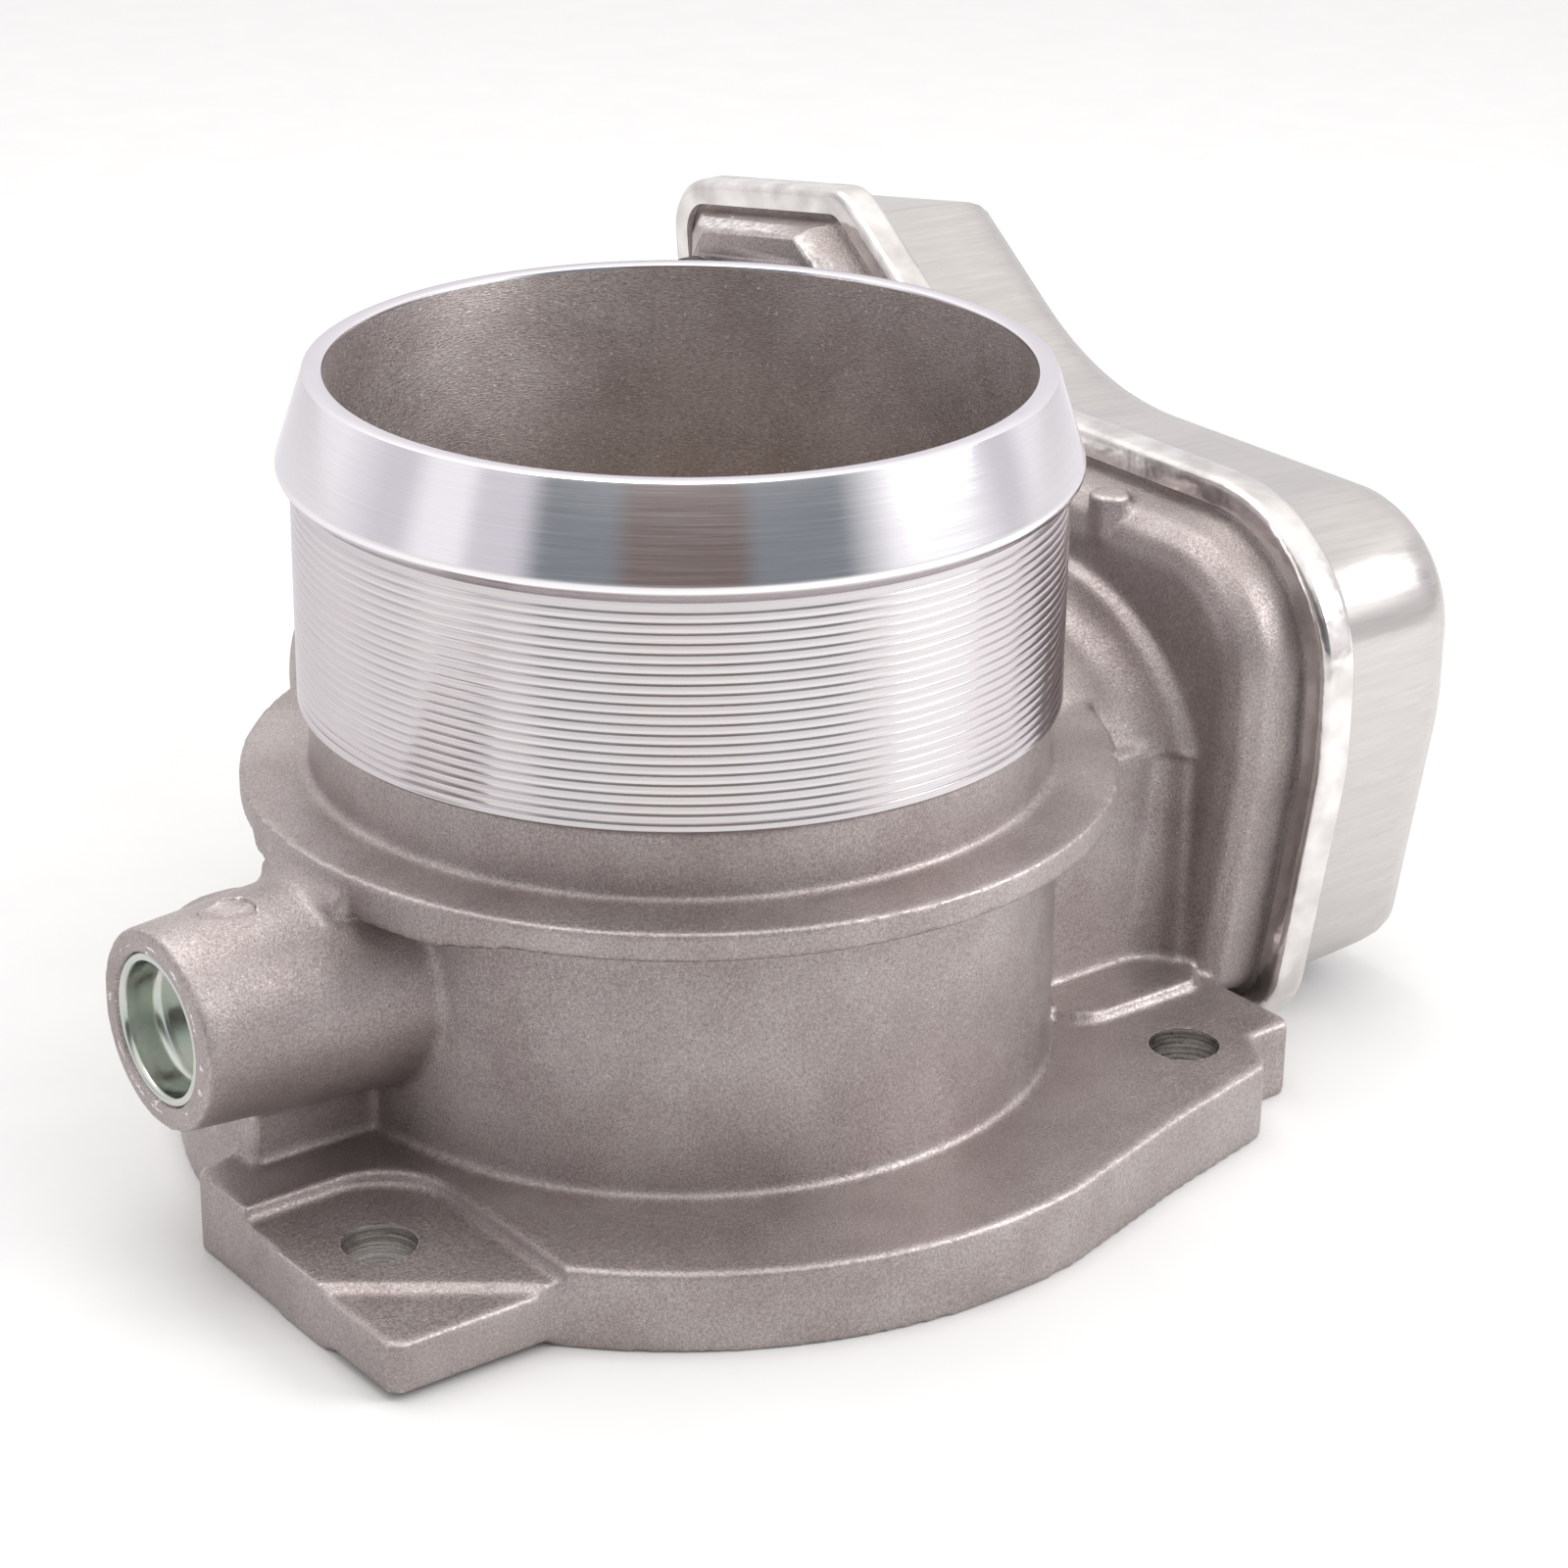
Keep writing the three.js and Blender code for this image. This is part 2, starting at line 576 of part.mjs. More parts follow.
function needleBearing() {
  const [x0, x1] = NEEDLE_X;
  return turnedAlongX([
    [SHAFT_R + 0.3, x0],
    [NEEDLE_R - 0.4, x0],
    [NEEDLE_R, x0 + 0.4],
    [NEEDLE_R, x1 - 0.4],
    [NEEDLE_R - 0.4, x1],
    [SHAFT_R + 0.3, x1],
    [SHAFT_R + 0.3, x0],
  ], 0, SHAFT_Z, 24);
}

// Lip seal: a stiff rim with a thin lip that closes on the shaft on one side.
function lipSeal([x0, x1], lipSide) {
  const middle = (x0 + x1) / 2;
  const lip = middle + lipSide * 1.6;
  return turnedAlongX([
    [SHAFT_R + 0.3, lip - 0.3],
    [SHAFT_R + 1.4, middle - 0.4],
    [SEAL_R - 0.8, middle - 0.4],
    [SEAL_R - 0.8, x0],
    [SEAL_R, x0],
    [SEAL_R, x1],
    [SEAL_R - 0.8, x1],
    [SEAL_R - 0.8, middle + 0.4],
    [SHAFT_R + 1.4, middle + 0.4],
    [SHAFT_R + 0.3, lip + 0.3],
    [SHAFT_R + 0.3, lip - 0.3],
  ], 0, SHAFT_Z, 16);
}

add('cup_plug', cupPlug(), ZINC);
add('needle_bearing', needleBearing(), STEEL);
add('shaft_seal_idle', lipSeal(IDLE_SEAL_X, 1), RUBBER);
add('shaft_seal_drive', lipSeal(DRIVE_SEAL_X, -1), RUBBER);

// ---------- drive-side ball bearing ----------

const BALL_TRACK_R = 9.15;
const BALL_R = 1.6;
const BALL_COUNT = 8;
const INNER_RACE_R = BALL_TRACK_R - BALL_R - 0.1;
const OUTER_RACE_R = BALL_TRACK_R + BALL_R + 0.1;

function ballRing() {
  const middle = (BALL_X[0] + BALL_X[1]) / 2;
  const cage = sleeve(BALL_TRACK_R - 0.5, BALL_TRACK_R + 0.5, middle - 0.8, middle + 0.8, 0, SHAFT_Z,
    24);
  const balls = Array.from({ length: BALL_COUNT }, (_, i) => {
    const angle = (2 * Math.PI * i) / BALL_COUNT;
    const ball = new THREE.SphereGeometry(BALL_R, 7, 4);
    const y = BALL_TRACK_R * Math.cos(angle);
    const z = SHAFT_Z + BALL_TRACK_R * Math.sin(angle);
    return solid(ball.translate(middle, y, z));
  });
  return join(cage, ...balls);
}

// Internal circlip with an eye at each end of its gap.
function circlip() {
  const outer = BALL_BEARING_R + 0.8;
  const inner = outer - 2.2;
  const half = THREE.MathUtils.degToRad(20);
  const up = Math.PI / 2;
  const strip = new THREE.Shape();
  strip.absarc(0, 0, outer, up + half, up - half + 2 * Math.PI, false);
  strip.absarc(0, 0, inner, up - half + 2 * Math.PI, up + half, true);
  const [x0, x1] = CIRCLIP_X;
  const eyes = [up + half, up - half].map((angle) => {
    const reach = inner + 0.2;
    return sleeve(0.7, 1.9, x0, x1, reach * Math.cos(angle), SHAFT_Z + reach * Math.sin(angle), 12);
  });
  const holes = [up + half, up - half].map((angle) => {
    const reach = inner + 0.2;
    return rod(0.7, x0 - 1, x1 + 1, reach * Math.cos(angle), SHAFT_Z + reach * Math.sin(angle), 12);
  });
  const ring = slabAlongX(strip, x0, x1, 14).translate([0, 0, SHAFT_Z]);
  return cut(join(ring, ...eyes), ...holes);
}

add('bearing_outer_race', sleeve(OUTER_RACE_R, BALL_BEARING_R, ...BALL_X, 0, SHAFT_Z), STEEL);
add('bearing_balls', ballRing(), STEEL);
add('bearing_circlip', circlip(), STEEL);

// ---------- throttle shaft and plate, drawn flat about the shaft axis and tilted to rest ----------

const valve = new THREE.Group();
valve.position.set(0, 0, SHAFT_Z);
valve.rotation.x = PLATE_REST;
assembly.add(valve);

const SCREW_SEAT = 3.9;

function throttleShaft() {
  const bar = turnedAlongX([
    [0, SHAFT_X0],
    [SHAFT_R - 0.6, SHAFT_X0],
    [SHAFT_R, SHAFT_X0 + 0.6],
    [SHAFT_R, SHAFT_X1 - 0.6],
    [SHAFT_R - 0.6, SHAFT_X1],
    [0, SHAFT_X1],
  ], 0, 0, 24);
  const slot = box(-BORE_R, BORE_R, -SHAFT_R - 1, SHAFT_R + 1, -SLOT_T / 2, SLOT_T / 2);
  const holes = [-PLATE_SCREW_Y, PLATE_SCREW_Y].flatMap((x) => [
    post(2.1, -SHAFT_R - 1, SHAFT_R + 1, x, 0, 12),
    post(3.8, SCREW_SEAT, SHAFT_R + 1, x, 0, 16),
  ]);
  return cut(bar, slot, ...holes);
}

function throttlePlate() {
  const half = PLATE_T / 2;
  const disc = turned([
    [0, -half],
    [PLATE_R - 0.4, -half],
    [PLATE_R, -half + 0.4],
    [PLATE_R, half - 0.4],
    [PLATE_R - 0.4, half],
    [0, half],
  ], 48);
  const holes = [-PLATE_SCREW_Y, PLATE_SCREW_Y].map((x) => post(2.1, -3, 3, x, 0, 12));
  return cut(disc, ...holes);
}

function plateScrew(x) {
  const head = turned([
    [0, -SHAFT_R - 0.6],
    [1.75, -SHAFT_R - 0.6],
    [1.75, SCREW_SEAT + 0.3],
    [3.4, SCREW_SEAT + 0.3],
    [3.4, SCREW_SEAT + 1.6],
    [2.7, SCREW_SEAT + 2.2],
    [0, SCREW_SEAT + 2.2],
  ], 14);
  return driveSocket(head.translate([x, 0, 0]), x, 0, SCREW_SEAT + 2.2);
}

// Six-lobe style drive recess sunk into a screw head that faces up.
function driveSocket(screw, x, y, top) {
  return cut(screw, post(1.3, top - 1, top + 1, x, y, 6));
}

add('throttle_shaft', throttleShaft(), STEEL, valve);
add('throttle_plate', throttlePlate(), BRASS, valve);
[-PLATE_SCREW_Y, PLATE_SCREW_Y].forEach((x, i) => {
  add(`plate_screw_${i + 1}`, plateScrew(x), STEEL, valve);
});
add('bearing_inner_race', sleeve(SHAFT_R + 0.3, INNER_RACE_R, ...BALL_X, 0, SHAFT_Z), STEEL);

// ---------- return spring and its bush ----------

function springBush() {
  return turnedAlongX([
    [SHAFT_R + 0.6, 67.1],
    [SPRING_POCKET_R - 0.4, 67.1],
    [SPRING_POCKET_R - 0.4, 68.3],
    [9.4, 68.3],
    [9.0, 76.3],
    [SHAFT_R + 0.6, 76.3],
    [SHAFT_R + 0.6, 67.1],
  ], 0, SHAFT_Z, 24);
}

const SPRING_WIRE_R = 0.8;
const SPRING_COIL_R = 12.4;
const SPRING_X = [69.6, 75.4];
const SPRING_TURNS = 3;

class SpringPath extends THREE.Curve {
  getPoint(t, target = new THREE.Vector3()) {
    const angle = t * SPRING_TURNS * 2 * Math.PI;
    const ending = Math.max(0, t - 0.985, 0.015 - t) / 0.015;
    const reach = SPRING_COIL_R + 2.2 * ending;
    return target.set(
      THREE.MathUtils.lerp(SPRING_X[0], SPRING_X[1], t),
      reach * Math.cos(angle),
      reach * Math.sin(angle),
    );
  }
}

function returnSpring() {
  const section = new THREE.Shape();
  section.absarc(0, 0, SPRING_WIRE_R, 0, 2 * Math.PI, false);
  const options = { extrudePath: new SpringPath(), steps: 60, curveSegments: 3, bevelEnabled: false };
  return solid(new THREE.ExtrudeGeometry(section, options).translate(0, 0, SHAFT_Z));
}

add('spring_bush', springBush(), BLACK_PLASTIC);
add('return_spring', returnSpring(), STEEL);

// ---------- sector gear and sensor magnet ----------

const SECTOR_FIRST_TOOTH = -13;
const SECTOR_TOOTH_COUNT = 16;
const HUB_R = 9.4;
const HUB_X = [76.8, 88.0];
const MAGNET_X = [85.0, 87.7];
const MAGNET_R = 6.2;

function sectorGear() {
  const pitch = (2 * Math.PI) / SECTOR_TEETH;
  const teeth = gearPoints(SECTOR_TEETH, COARSE_MODULE, sectorToIdler, SECTOR_FIRST_TOOTH,
    SECTOR_TOOTH_COUNT);
  const firstAngle = sectorToIdler + (SECTOR_FIRST_TOOTH - 0.5) * pitch;
  const lastAngle = firstAngle + SECTOR_TOOTH_COUNT * pitch;
  const arc = (radius, from, to, steps = 10) => Array.from({ length: steps + 1 }, (_, k) => {
    const angle = THREE.MathUtils.lerp(from, to, k / steps);
    return [radius * Math.cos(angle), radius * Math.sin(angle)];
  });
  const rim = slabAlongX(shapeOf([...teeth, ...arc(20, lastAngle, firstAngle)]), ...SECTOR_X);
  const fan = shapeOf([...arc(21, firstAngle, lastAngle), ...arc(7, lastAngle, firstAngle)]);
  const web = slabAlongX(fan, SECTOR_X[0] + 2, SECTOR_X[1] - 2);
  const hub = rod(HUB_R, ...HUB_X, 0, 0, 36);
  const bores = [
    rod(SHAFT_R + 0.3, HUB_X[0] - 1, HUB_X[1], 0, 0, 24),
    rod(MAGNET_R + 0.3, MAGNET_X[0] - 0.3, HUB_X[1] + 1, 0, 0, 24),
  ];
  return cut(join(rim, web, hub), ...bores).translate([0, 0, SHAFT_Z]);
}

add('sector_gear', sectorGear(), GEAR_PLASTIC);
add('sensor_magnet', rod(MAGNET_R, ...MAGNET_X, 0, SHAFT_Z, 24), MAGNET);

// ---------- idler gear ----------

const IDLER_PIN_R = 3.0;
const IDLER_PIN_X = [68.2, 100.8];

function idlerGear() {
  const smallPhase = sectorToIdler + Math.PI + Math.PI / IDLER_SMALL_TEETH;
  const small = gear(IDLER_SMALL_TEETH, COARSE_MODULE, smallPhase, 76.2, FINE_GEAR_X[0] + 0.5,
    IDLER_Y, IDLER_Z);
  const large = gear(IDLER_LARGE_TEETH, FINE_MODULE, idlerToPinion, ...FINE_GEAR_X, IDLER_Y,
    IDLER_Z);
  const dish = sleeve(9, IDLER_LARGE_R - 4, FINE_GEAR_X[1] - 1.8, FINE_GEAR_X[1] + 1, IDLER_Y,
    IDLER_Z, 24);
  const hub = rod(6, FINE_GEAR_X[1] - 1, FINE_GEAR_X[1] + 1.6, IDLER_Y, IDLER_Z, 20);
  const bore = rod(IDLER_PIN_R + 0.3, 70, 100, IDLER_Y, IDLER_Z);
  return cut(join(cut(join(small, large), dish), hub), bore);
}

add('idler_pin', rod(IDLER_PIN_R, ...IDLER_PIN_X, IDLER_Y, IDLER_Z), STEEL);
add('idler_gear', idlerGear(), GEAR_PLASTIC);

// ---------- motor ----------

const MOTOR_SHAFT_R = 1.6;

function motorCan() {
  const [x0, x1] = MOTOR_X;
  return turnedAlongX([
    [2.0, x0],
    [MOTOR_R - 1.5, x0],
    [MOTOR_R, x0 + 1.5],
    [MOTOR_R, x1],
    [MOTOR_R - 1.4, x1],
    [MOTOR_R - 1.4, x0 + 1.4],
    [2.0, x0 + 1.4],
    [2.0, x0],
  ], MOTOR_Y, MOTOR_Z, 28);
}

function motorEndCap() {
  const x0 = MOTOR_X[1] + 0.3;
  return turnedAlongX([
    [2.0, x0],
    [MOTOR_R - 0.4, x0],
    [MOTOR_R - 0.4, x0 + 4],
    [MOTOR_R - 1.2, x0 + 4.8],
    [6.4, x0 + 4.8],
    [6.0, x0 + 10.8],
    [2.0, x0 + 10.8],
    [2.0, x0],
  ], MOTOR_Y, MOTOR_Z, 24);
}

function motorArmature() {
  const core = rod(12.4, 8, 46, MOTOR_Y, MOTOR_Z, 24);
  const poles = 5;
  const slots = Array.from({ length: poles }, (_, i) => {
    const angle = (2 * Math.PI * (i + 0.5)) / poles;
    const y = MOTOR_Y + 11.6 * Math.cos(angle);
    const z = MOTOR_Z + 11.6 * Math.sin(angle);
    return rod(3.0, 7, 47, y, z, 8);
  });
  const commutator = rod(5.6, 49, 57, MOTOR_Y, MOTOR_Z, 16);
  const shaft = rod(MOTOR_SHAFT_R, -3.4, 96.4, MOTOR_Y, MOTOR_Z, 12);
  return join(cut(core, ...slots), commutator, shaft);
}

function fieldMagnet(side) {
  const half = THREE.MathUtils.degToRad(62);
  const middle = (side * Math.PI) / 2;
  const arc = new THREE.Shape();
  arc.absarc(0, 0, MOTOR_R - 1.7, middle - half, middle + half, false);
  arc.absarc(0, 0, 13.2, middle + half, middle - half, true);
  return slabAlongX(arc, 5, 49, 8).translate([0, MOTOR_Y, MOTOR_Z]);
}

// Retaining plate across the mouth of the motor bore, with one ear for each screw.
function motorBracket() {
  const [x0, x1] = [PAN_FLOOR_X + 0.3, PAN_FLOOR_X + 1.7];
  const nose = rod(13.5, x0, x1, MOTOR_Y, MOTOR_Z, 24);
  const ears = BRACKET_SCREWS.map(([y, z]) => rod(4.4, x0, x1, y, z, 12));
  const [[leftY, earZ], [rightY]] = BRACKET_SCREWS;
  const arms = [[leftY, -1], [rightY, 1]].map(([y, side]) => slabAlongX(shapeOf([
    [y - 3.1, earZ + side * 3.1],
    [MOTOR_Y - 9.5, MOTOR_Z + side * 9.5],
    [MOTOR_Y + 9.5, MOTOR_Z - side * 9.5],
    [y + 3.1, earZ - side * 3.1],
  ]), x0, x1));
  const holes = [
    rod(6.9, x0 - 1, x1 + 1, MOTOR_Y, MOTOR_Z, 20),
    ...BRACKET_SCREWS.map(([y, z]) => rod(1.9, x0 - 1, x1 + 1, y, z, 10)),
  ];
  return cut(join(nose, ...ears, ...arms), ...holes);
}

// Three-wave spring washer that pushes the motor against its bracket.
function waveWasher() {
  const ring = new THREE.LatheGeometry([
    new THREE.Vector2(9.5, -5.3),
    new THREE.Vector2(17.0, -5.3),
    new THREE.Vector2(17.0, -4.8),
    new THREE.Vector2(9.5, -4.8),
    new THREE.Vector2(9.5, -5.3),
  ], 30);
  ring.rotateZ(-Math.PI / 2);
  const position = ring.getAttribute('position');
  for (let i = 0; i < position.count; i += 1) {
    const angle = Math.atan2(position.getZ(i), position.getY(i));
    position.setX(i, position.getX(i) + 0.35 * Math.cos(3 * angle));
  }
  return solid(ring.translate(0, MOTOR_Y, MOTOR_Z));
}

function panScrew(headX, shankEnd, side, headR, shankR, y, z) {
  const headEnd = headX + side * 2.0;
  const profile = [[0, shankEnd], [shankR, shankEnd], [shankR, headX], [headR, headX],
    [headR, headEnd - side * 0.6], [headR - 0.6, headEnd], [0, headEnd]];
  const recess = rod(1.2, Math.min(headEnd, headEnd - side), Math.max(headEnd, headEnd - side), y, z, 6);
  return cut(turnedAlongX(profile, y, z, 10), recess);
}

const pinionPhase = idlerToPinion + Math.PI + Math.PI / PINION_TEETH;
const pinion = cut(
  gear(PINION_TEETH, FINE_MODULE, pinionPhase, FINE_GEAR_X[0] - 0.4, FINE_GEAR_X[1] + 0.4, MOTOR_Y,
    MOTOR_Z),
  rod(MOTOR_SHAFT_R + 0.3, 80, 100, MOTOR_Y, MOTOR_Z, 12),
);

add('motor_can', motorCan(), ZINC);
add('motor_end_cap', motorEndCap(), BLACK_PLASTIC);
add('motor_armature', motorArmature(), STEEL);
add('motor_magnet_upper', fieldMagnet(1), MAGNET);
add('motor_magnet_lower', fieldMagnet(-1), MAGNET);
add('motor_pinion', pinion, BRASS);
add('motor_bracket', motorBracket(), ZINC);
add('wave_washer', waveWasher(), STEEL);
BRACKET_SCREWS.forEach(([y, z], i) => {
  add(`bracket_screw_${i + 1}`, panScrew(PAN_FLOOR_X + 2, PAN_FLOOR_X - 1.8, 1, 3, 1.6, y, z), ZINC);
});

// ---------- gear cover, seal and position sensor ----------

function gearCover() {
  const lipX = PAN_RIM_X - 0.1;
  const inner = [
    [14.0, COVER_END_X - COVER_SHEET],
    [10.9, COVER_END_X - 1.9],
    [8.3, COVER_END_X - 4.2],
    [6.8, 100],
    [5.9, 83.6],
    [1.2, 80.4],
    [1.2, lipX],
    [4.2, lipX],
  ];
  const outer = [
    [4.2, lipX - COVER_SHEET],
    [0.8, lipX - COVER_SHEET],
    [0.0, lipX - 0.3],
    [0.0, 80.8],
    [0.9, 81.7],
    [4.7, 84.0],
    [5.6, 100.2],
    [7.2, COVER_END_X - 3.6],
    [9.9, COVER_END_X - 0.9],
    [13.4, COVER_END_X],
  ];
  return housingLoft([...inner, ...outer]);
}

function coverSeal() {
  const outline = (inset) => shapeOf(roundedOutline(HOUSING_CORNERS, inset));
  const [x0, x1] = [PAN_FLANGE_X + 0.15, PAN_FLANGE_X + 1.05];
  return cut(slabAlongX(outline(2.3), x0, x1), slabAlongX(outline(7.0), x0 - 1, x1 + 1));
}

function sensorCarrier() {
  const [x0, x1] = CARRIER_X;
  const plate = slabAlongX(shapeOf(roundedOutline(HOUSING_CORNERS, 11)), x0, x1);
  const nose = rod(5.0, HUB_X[1] + 1, x0 + 0.5, 0, SHAFT_Z, 24);
  const holes = [
    rod(IDLER_PIN_R + 0.3, x0 - 1, x1 + 1, IDLER_Y, IDLER_Z),
    rod(8, x0 - 1, x1 + 1, MOTOR_Y, MOTOR_Z, 28),
    ...POSTS.map(([y, z]) => rod(1.6, x0 - 1, x1 + 1, y, z, 12)),
  ];
  return cut(join(plate, nose), ...holes);
}

function sensorBoard() {
  const corners = [[-17, 20, 3], [30, 20, 3], [30, 26, 1], [46, 26, 3], [46, 66, 3], [-17, 66, 3]];
  const board = slabAlongX(shapeOf(roundedOutline(corners, 0, 3)), ...BOARD_X);
  return cut(board, rod(4.0, BOARD_X[0] - 1, BOARD_X[1] + 1, IDLER_Y, IDLER_Z, 20));
}

add('gear_cover', gearCover(), STAINLESS);
add('cover_seal', coverSeal(), RUBBER);
add('sensor_carrier', sensorCarrier(), BLACK_PLASTIC);
add('sensor_board', sensorBoard(), BOARD);
add('position_sensor', box(BOARD_X[1] + 0.2, BOARD_X[1] + 1.7, -3.2, 3.2, SHAFT_Z - 3.2,
  SHAFT_Z + 3.2), BLACK_PLASTIC);
POSTS.forEach(([y, z], i) => {
  add(`carrier_screw_${i + 1}`, panScrew(CARRIER_X[1] + 0.3, CARRIER_X[0] - 7, 1, 2.8, 1.15, y, z), ZINC);
});

// ---------- electrical connector ----------

const CONNECTOR_FLANGE_X = [63.6, 66.2];

function connectorShell() {
  const [y0, y1] = CONNECTOR_Y;
  const [z0, z1] = CONNECTOR_Z;
  const wall = CONNECTOR_WALL;
  const roundBox = (inset, x0, x1) => {
    const radius = 3;
    const corners = [[y0, z0, radius], [y1, z0, radius], [y1, z1, radius], [y0, z1, radius]];
    return slabAlongX(shapeOf(roundedOutline(corners, inset, 4)), x0, x1);
  };
  const [flangeX0, flangeX1] = CONNECTOR_FLANGE_X;
  const flangeCorners = [[y0 - 7, z0 - 2, 4], [y1 + 6.5, z0 - 2, 4], [y1 + 2, z1 + 2, 3],
    [y0 - 2, z1 + 2, 3]];
  const mount = slabAlongX(shapeOf(roundedOutline(flangeCorners, 0, 4)), flangeX0, flangeX1);
  const plugNose = roundBox(wall - 0.6, flangeX1 - 0.5, PAN_FLOOR_X + 1.5);
  const middleY = (y0 + y1) / 2;
  const latch = slabAlongX(shapeOf([[middleY - 3, z1 - 1], [middleY + 3, z1 - 1],
    [middleY + 2.4, z1 + 1.8], [middleY - 2.4, z1 + 1.8]]), CONNECTOR_X0 + 6, CONNECTOR_X0 + 12);
  const holes = [
    roundBox(wall, CONNECTOR_X0 - 1, CONNECTOR_WEB_X),
    ...PIN_Y.flatMap((y) => PIN_Z.map((z) => box(50, 75, y - 1.4, y + 1.4, z - 0.7, z + 0.7))),
    ...CONNECTOR_SCREWS.map(([y, z]) => rod(1.9, flangeX0 - 1, flangeX1 + 1, y, z, 16)),
  ];
  return cut(join(roundBox(0, CONNECTOR_X0, flangeX1), mount, plugNose, latch), ...holes);
}

add('connector_shell', connectorShell(), BLACK_PLASTIC);
PIN_Y.flatMap((y) => PIN_Z.map((z) => [y, z])).forEach(([y, z], i) => {
  add(`terminal_pin_${i + 1}`, box(42, 74, y - 1.1, y + 1.1, z - 0.4, z + 0.4), CONTACT);
});
CONNECTOR_SCREWS.forEach(([y, z], i) => {
  const headX = CONNECTOR_FLANGE_X[0] - 0.3;
  add(`connector_screw_${i + 1}`, panScrew(headX, PAN_BACK_X + 2, -1, 3, 1.6, y, z), ZINC);
});

// ---------- flange gasket ----------

add('flange_gasket', ringUp(GASKET_IN_R + 0.3, GASKET_OUT_R - 0.3, 0.15, 2.3), RUBBER);

export default assembly;
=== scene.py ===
import json
import math

import bmesh
import bpy
import numpy as np
from mathutils import Matrix, Vector


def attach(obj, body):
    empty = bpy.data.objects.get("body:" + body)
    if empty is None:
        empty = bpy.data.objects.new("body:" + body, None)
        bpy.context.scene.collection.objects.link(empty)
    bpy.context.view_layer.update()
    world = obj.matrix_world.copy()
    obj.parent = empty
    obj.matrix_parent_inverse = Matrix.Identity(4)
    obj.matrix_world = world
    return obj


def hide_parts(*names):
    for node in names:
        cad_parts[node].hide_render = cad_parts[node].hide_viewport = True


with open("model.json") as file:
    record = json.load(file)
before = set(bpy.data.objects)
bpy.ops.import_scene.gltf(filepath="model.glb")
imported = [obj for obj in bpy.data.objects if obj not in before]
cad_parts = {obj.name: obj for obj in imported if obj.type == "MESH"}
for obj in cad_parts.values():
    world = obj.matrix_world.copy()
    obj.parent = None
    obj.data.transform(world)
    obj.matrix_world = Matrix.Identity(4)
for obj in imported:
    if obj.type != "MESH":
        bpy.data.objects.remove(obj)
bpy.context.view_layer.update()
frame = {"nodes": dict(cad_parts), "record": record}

MM = 0.001
hinge = {joint["name"]: joint["pos_m"] for joint in frame["record"]["behaviour"]["joints"]}
BORE_AXIS = np.array([hinge["throttle_turn"][0], hinge["throttle_turn"][1], 0.0])
SHAFT_Z = hinge["throttle_turn"][2] / MM
MOTOR_Y, MOTOR_Z = [(hinge["rotor_spin"][k] - BORE_AXIS[k]) / MM for k in (1, 2)]

# ---------- driving dimensions, mm ----------

BORE_R = 45.0
RIM_BORE_R = 46.1
BODY_R = 50.8
NECK_R = 49.4
COLLAR_R = 58.8
COLLAR_Z = (47.6, 51.7)
SPIGOT_R = 50.8
SPIGOT_Z = 61.3
GROOVE_TOP_Z = 90.3
GROOVES = 22
GROOVE_DEPTH = 0.13
BEAD_R = 52.4
BEAD_Z = 93.6
RIM_R = 48.9
RIM_Z = 105.7

FLANGE_T = 11.2
FLANGE_R = 70.0
LUG_LIFT = 1.2
BOLT_R = 4.85
BOLT_HOLES = ((-64.6, -25.0), (51.2, -46.6), (-30.0, 62.6))
BOLT_PAD_R = 12.5

BOSS_END_X = -81.0
BOSS_R = 13.2
BOSS_ROOT_R = 15.2
PLUG_R = 10.1
PLUG_DEPTH = 7.0

DRUM_R = 27.0
DRUM_X = 30.0
BLOCK_TOP_Z = 45.5
PAN_BACK_X = 66.5
PAN_RIM_X = 77.0
PAN_FLANGE_X = 79.2
BACK_CORNER = ((66.5, 88.5), (77.0, 102.8))
BACK_CORNER_Z = (77.0, 110.0)
PAN_WALL = 2.4
PANEL_X = 68.2
MOTOR_TUBE_R = 20.9
MOTOR_TUBE_X = -10.0

COVER_END_X = 109.0
COVER_SHEET = 1.2

# Gear housing outline seen along x: [y, z, corner radius], anticlockwise.
HOUSING_CORNERS = (
    (-37.7, 0.6, 12), (58.0, 0.6, 20), (98.0, 18.0, 24), (107.2, 96.2, 9),
    (63.5, 103.5, 7), (33.8, 80.8, 45), (-45.2, 80.8, 24.5), (-45.2, 44.5, 50),
)

# ---------- mesh tools ----------


def to_frame(points):
    return np.asarray(points, dtype=float) * MM + BORE_AXIS


def shown(name, mesh):
    """A mesh object in the scene, with coincident points merged and faces turned out."""
    work = bmesh.new()
    work.from_mesh(mesh)
    bmesh.ops.remove_doubles(work, verts=work.verts, dist=1e-7)
    bmesh.ops.dissolve_degenerate(work, edges=work.edges, dist=1e-8)
    bmesh.ops.recalc_face_normals(work, faces=work.faces)
    work.to_mesh(mesh)
    work.free()
    piece = bpy.data.objects.new(name, mesh)
    bpy.context.scene.collection.objects.link(piece)
    return piece


def object_from(name, points, faces):
    """A mesh object from points in mm and faces."""
    mesh = bpy.data.meshes.new(name)
    mesh.from_pydata(to_frame(points).tolist(), [], faces)
    return shown(name, mesh)


def copied(name, source):
    return shown(name, source.data.copy())


def skin(rings, closed=True):
    """Points and quads through a row of rings with equal counts of points."""
    size = len(rings[0])
    faces = []
    for row in range(len(rings) - 1):
        for k in range(size if closed else size - 1):
            a = row * size + k
            b = row * size + (k + 1) % size
            faces.append((a, b, b + size, a + size))
    return [point for ring in rings for point in ring], faces


def turned(name, profile, segments=192):
    """Profile of (radius, z) turned about the bore axis."""
    angles = np.linspace(0, 2 * math.pi, segments, endpoint=False)
    rings = [[(r * math.cos(a), r * math.sin(a), z) for a in angles] for r, z in profile]
    return object_from(name, *skin(rings))


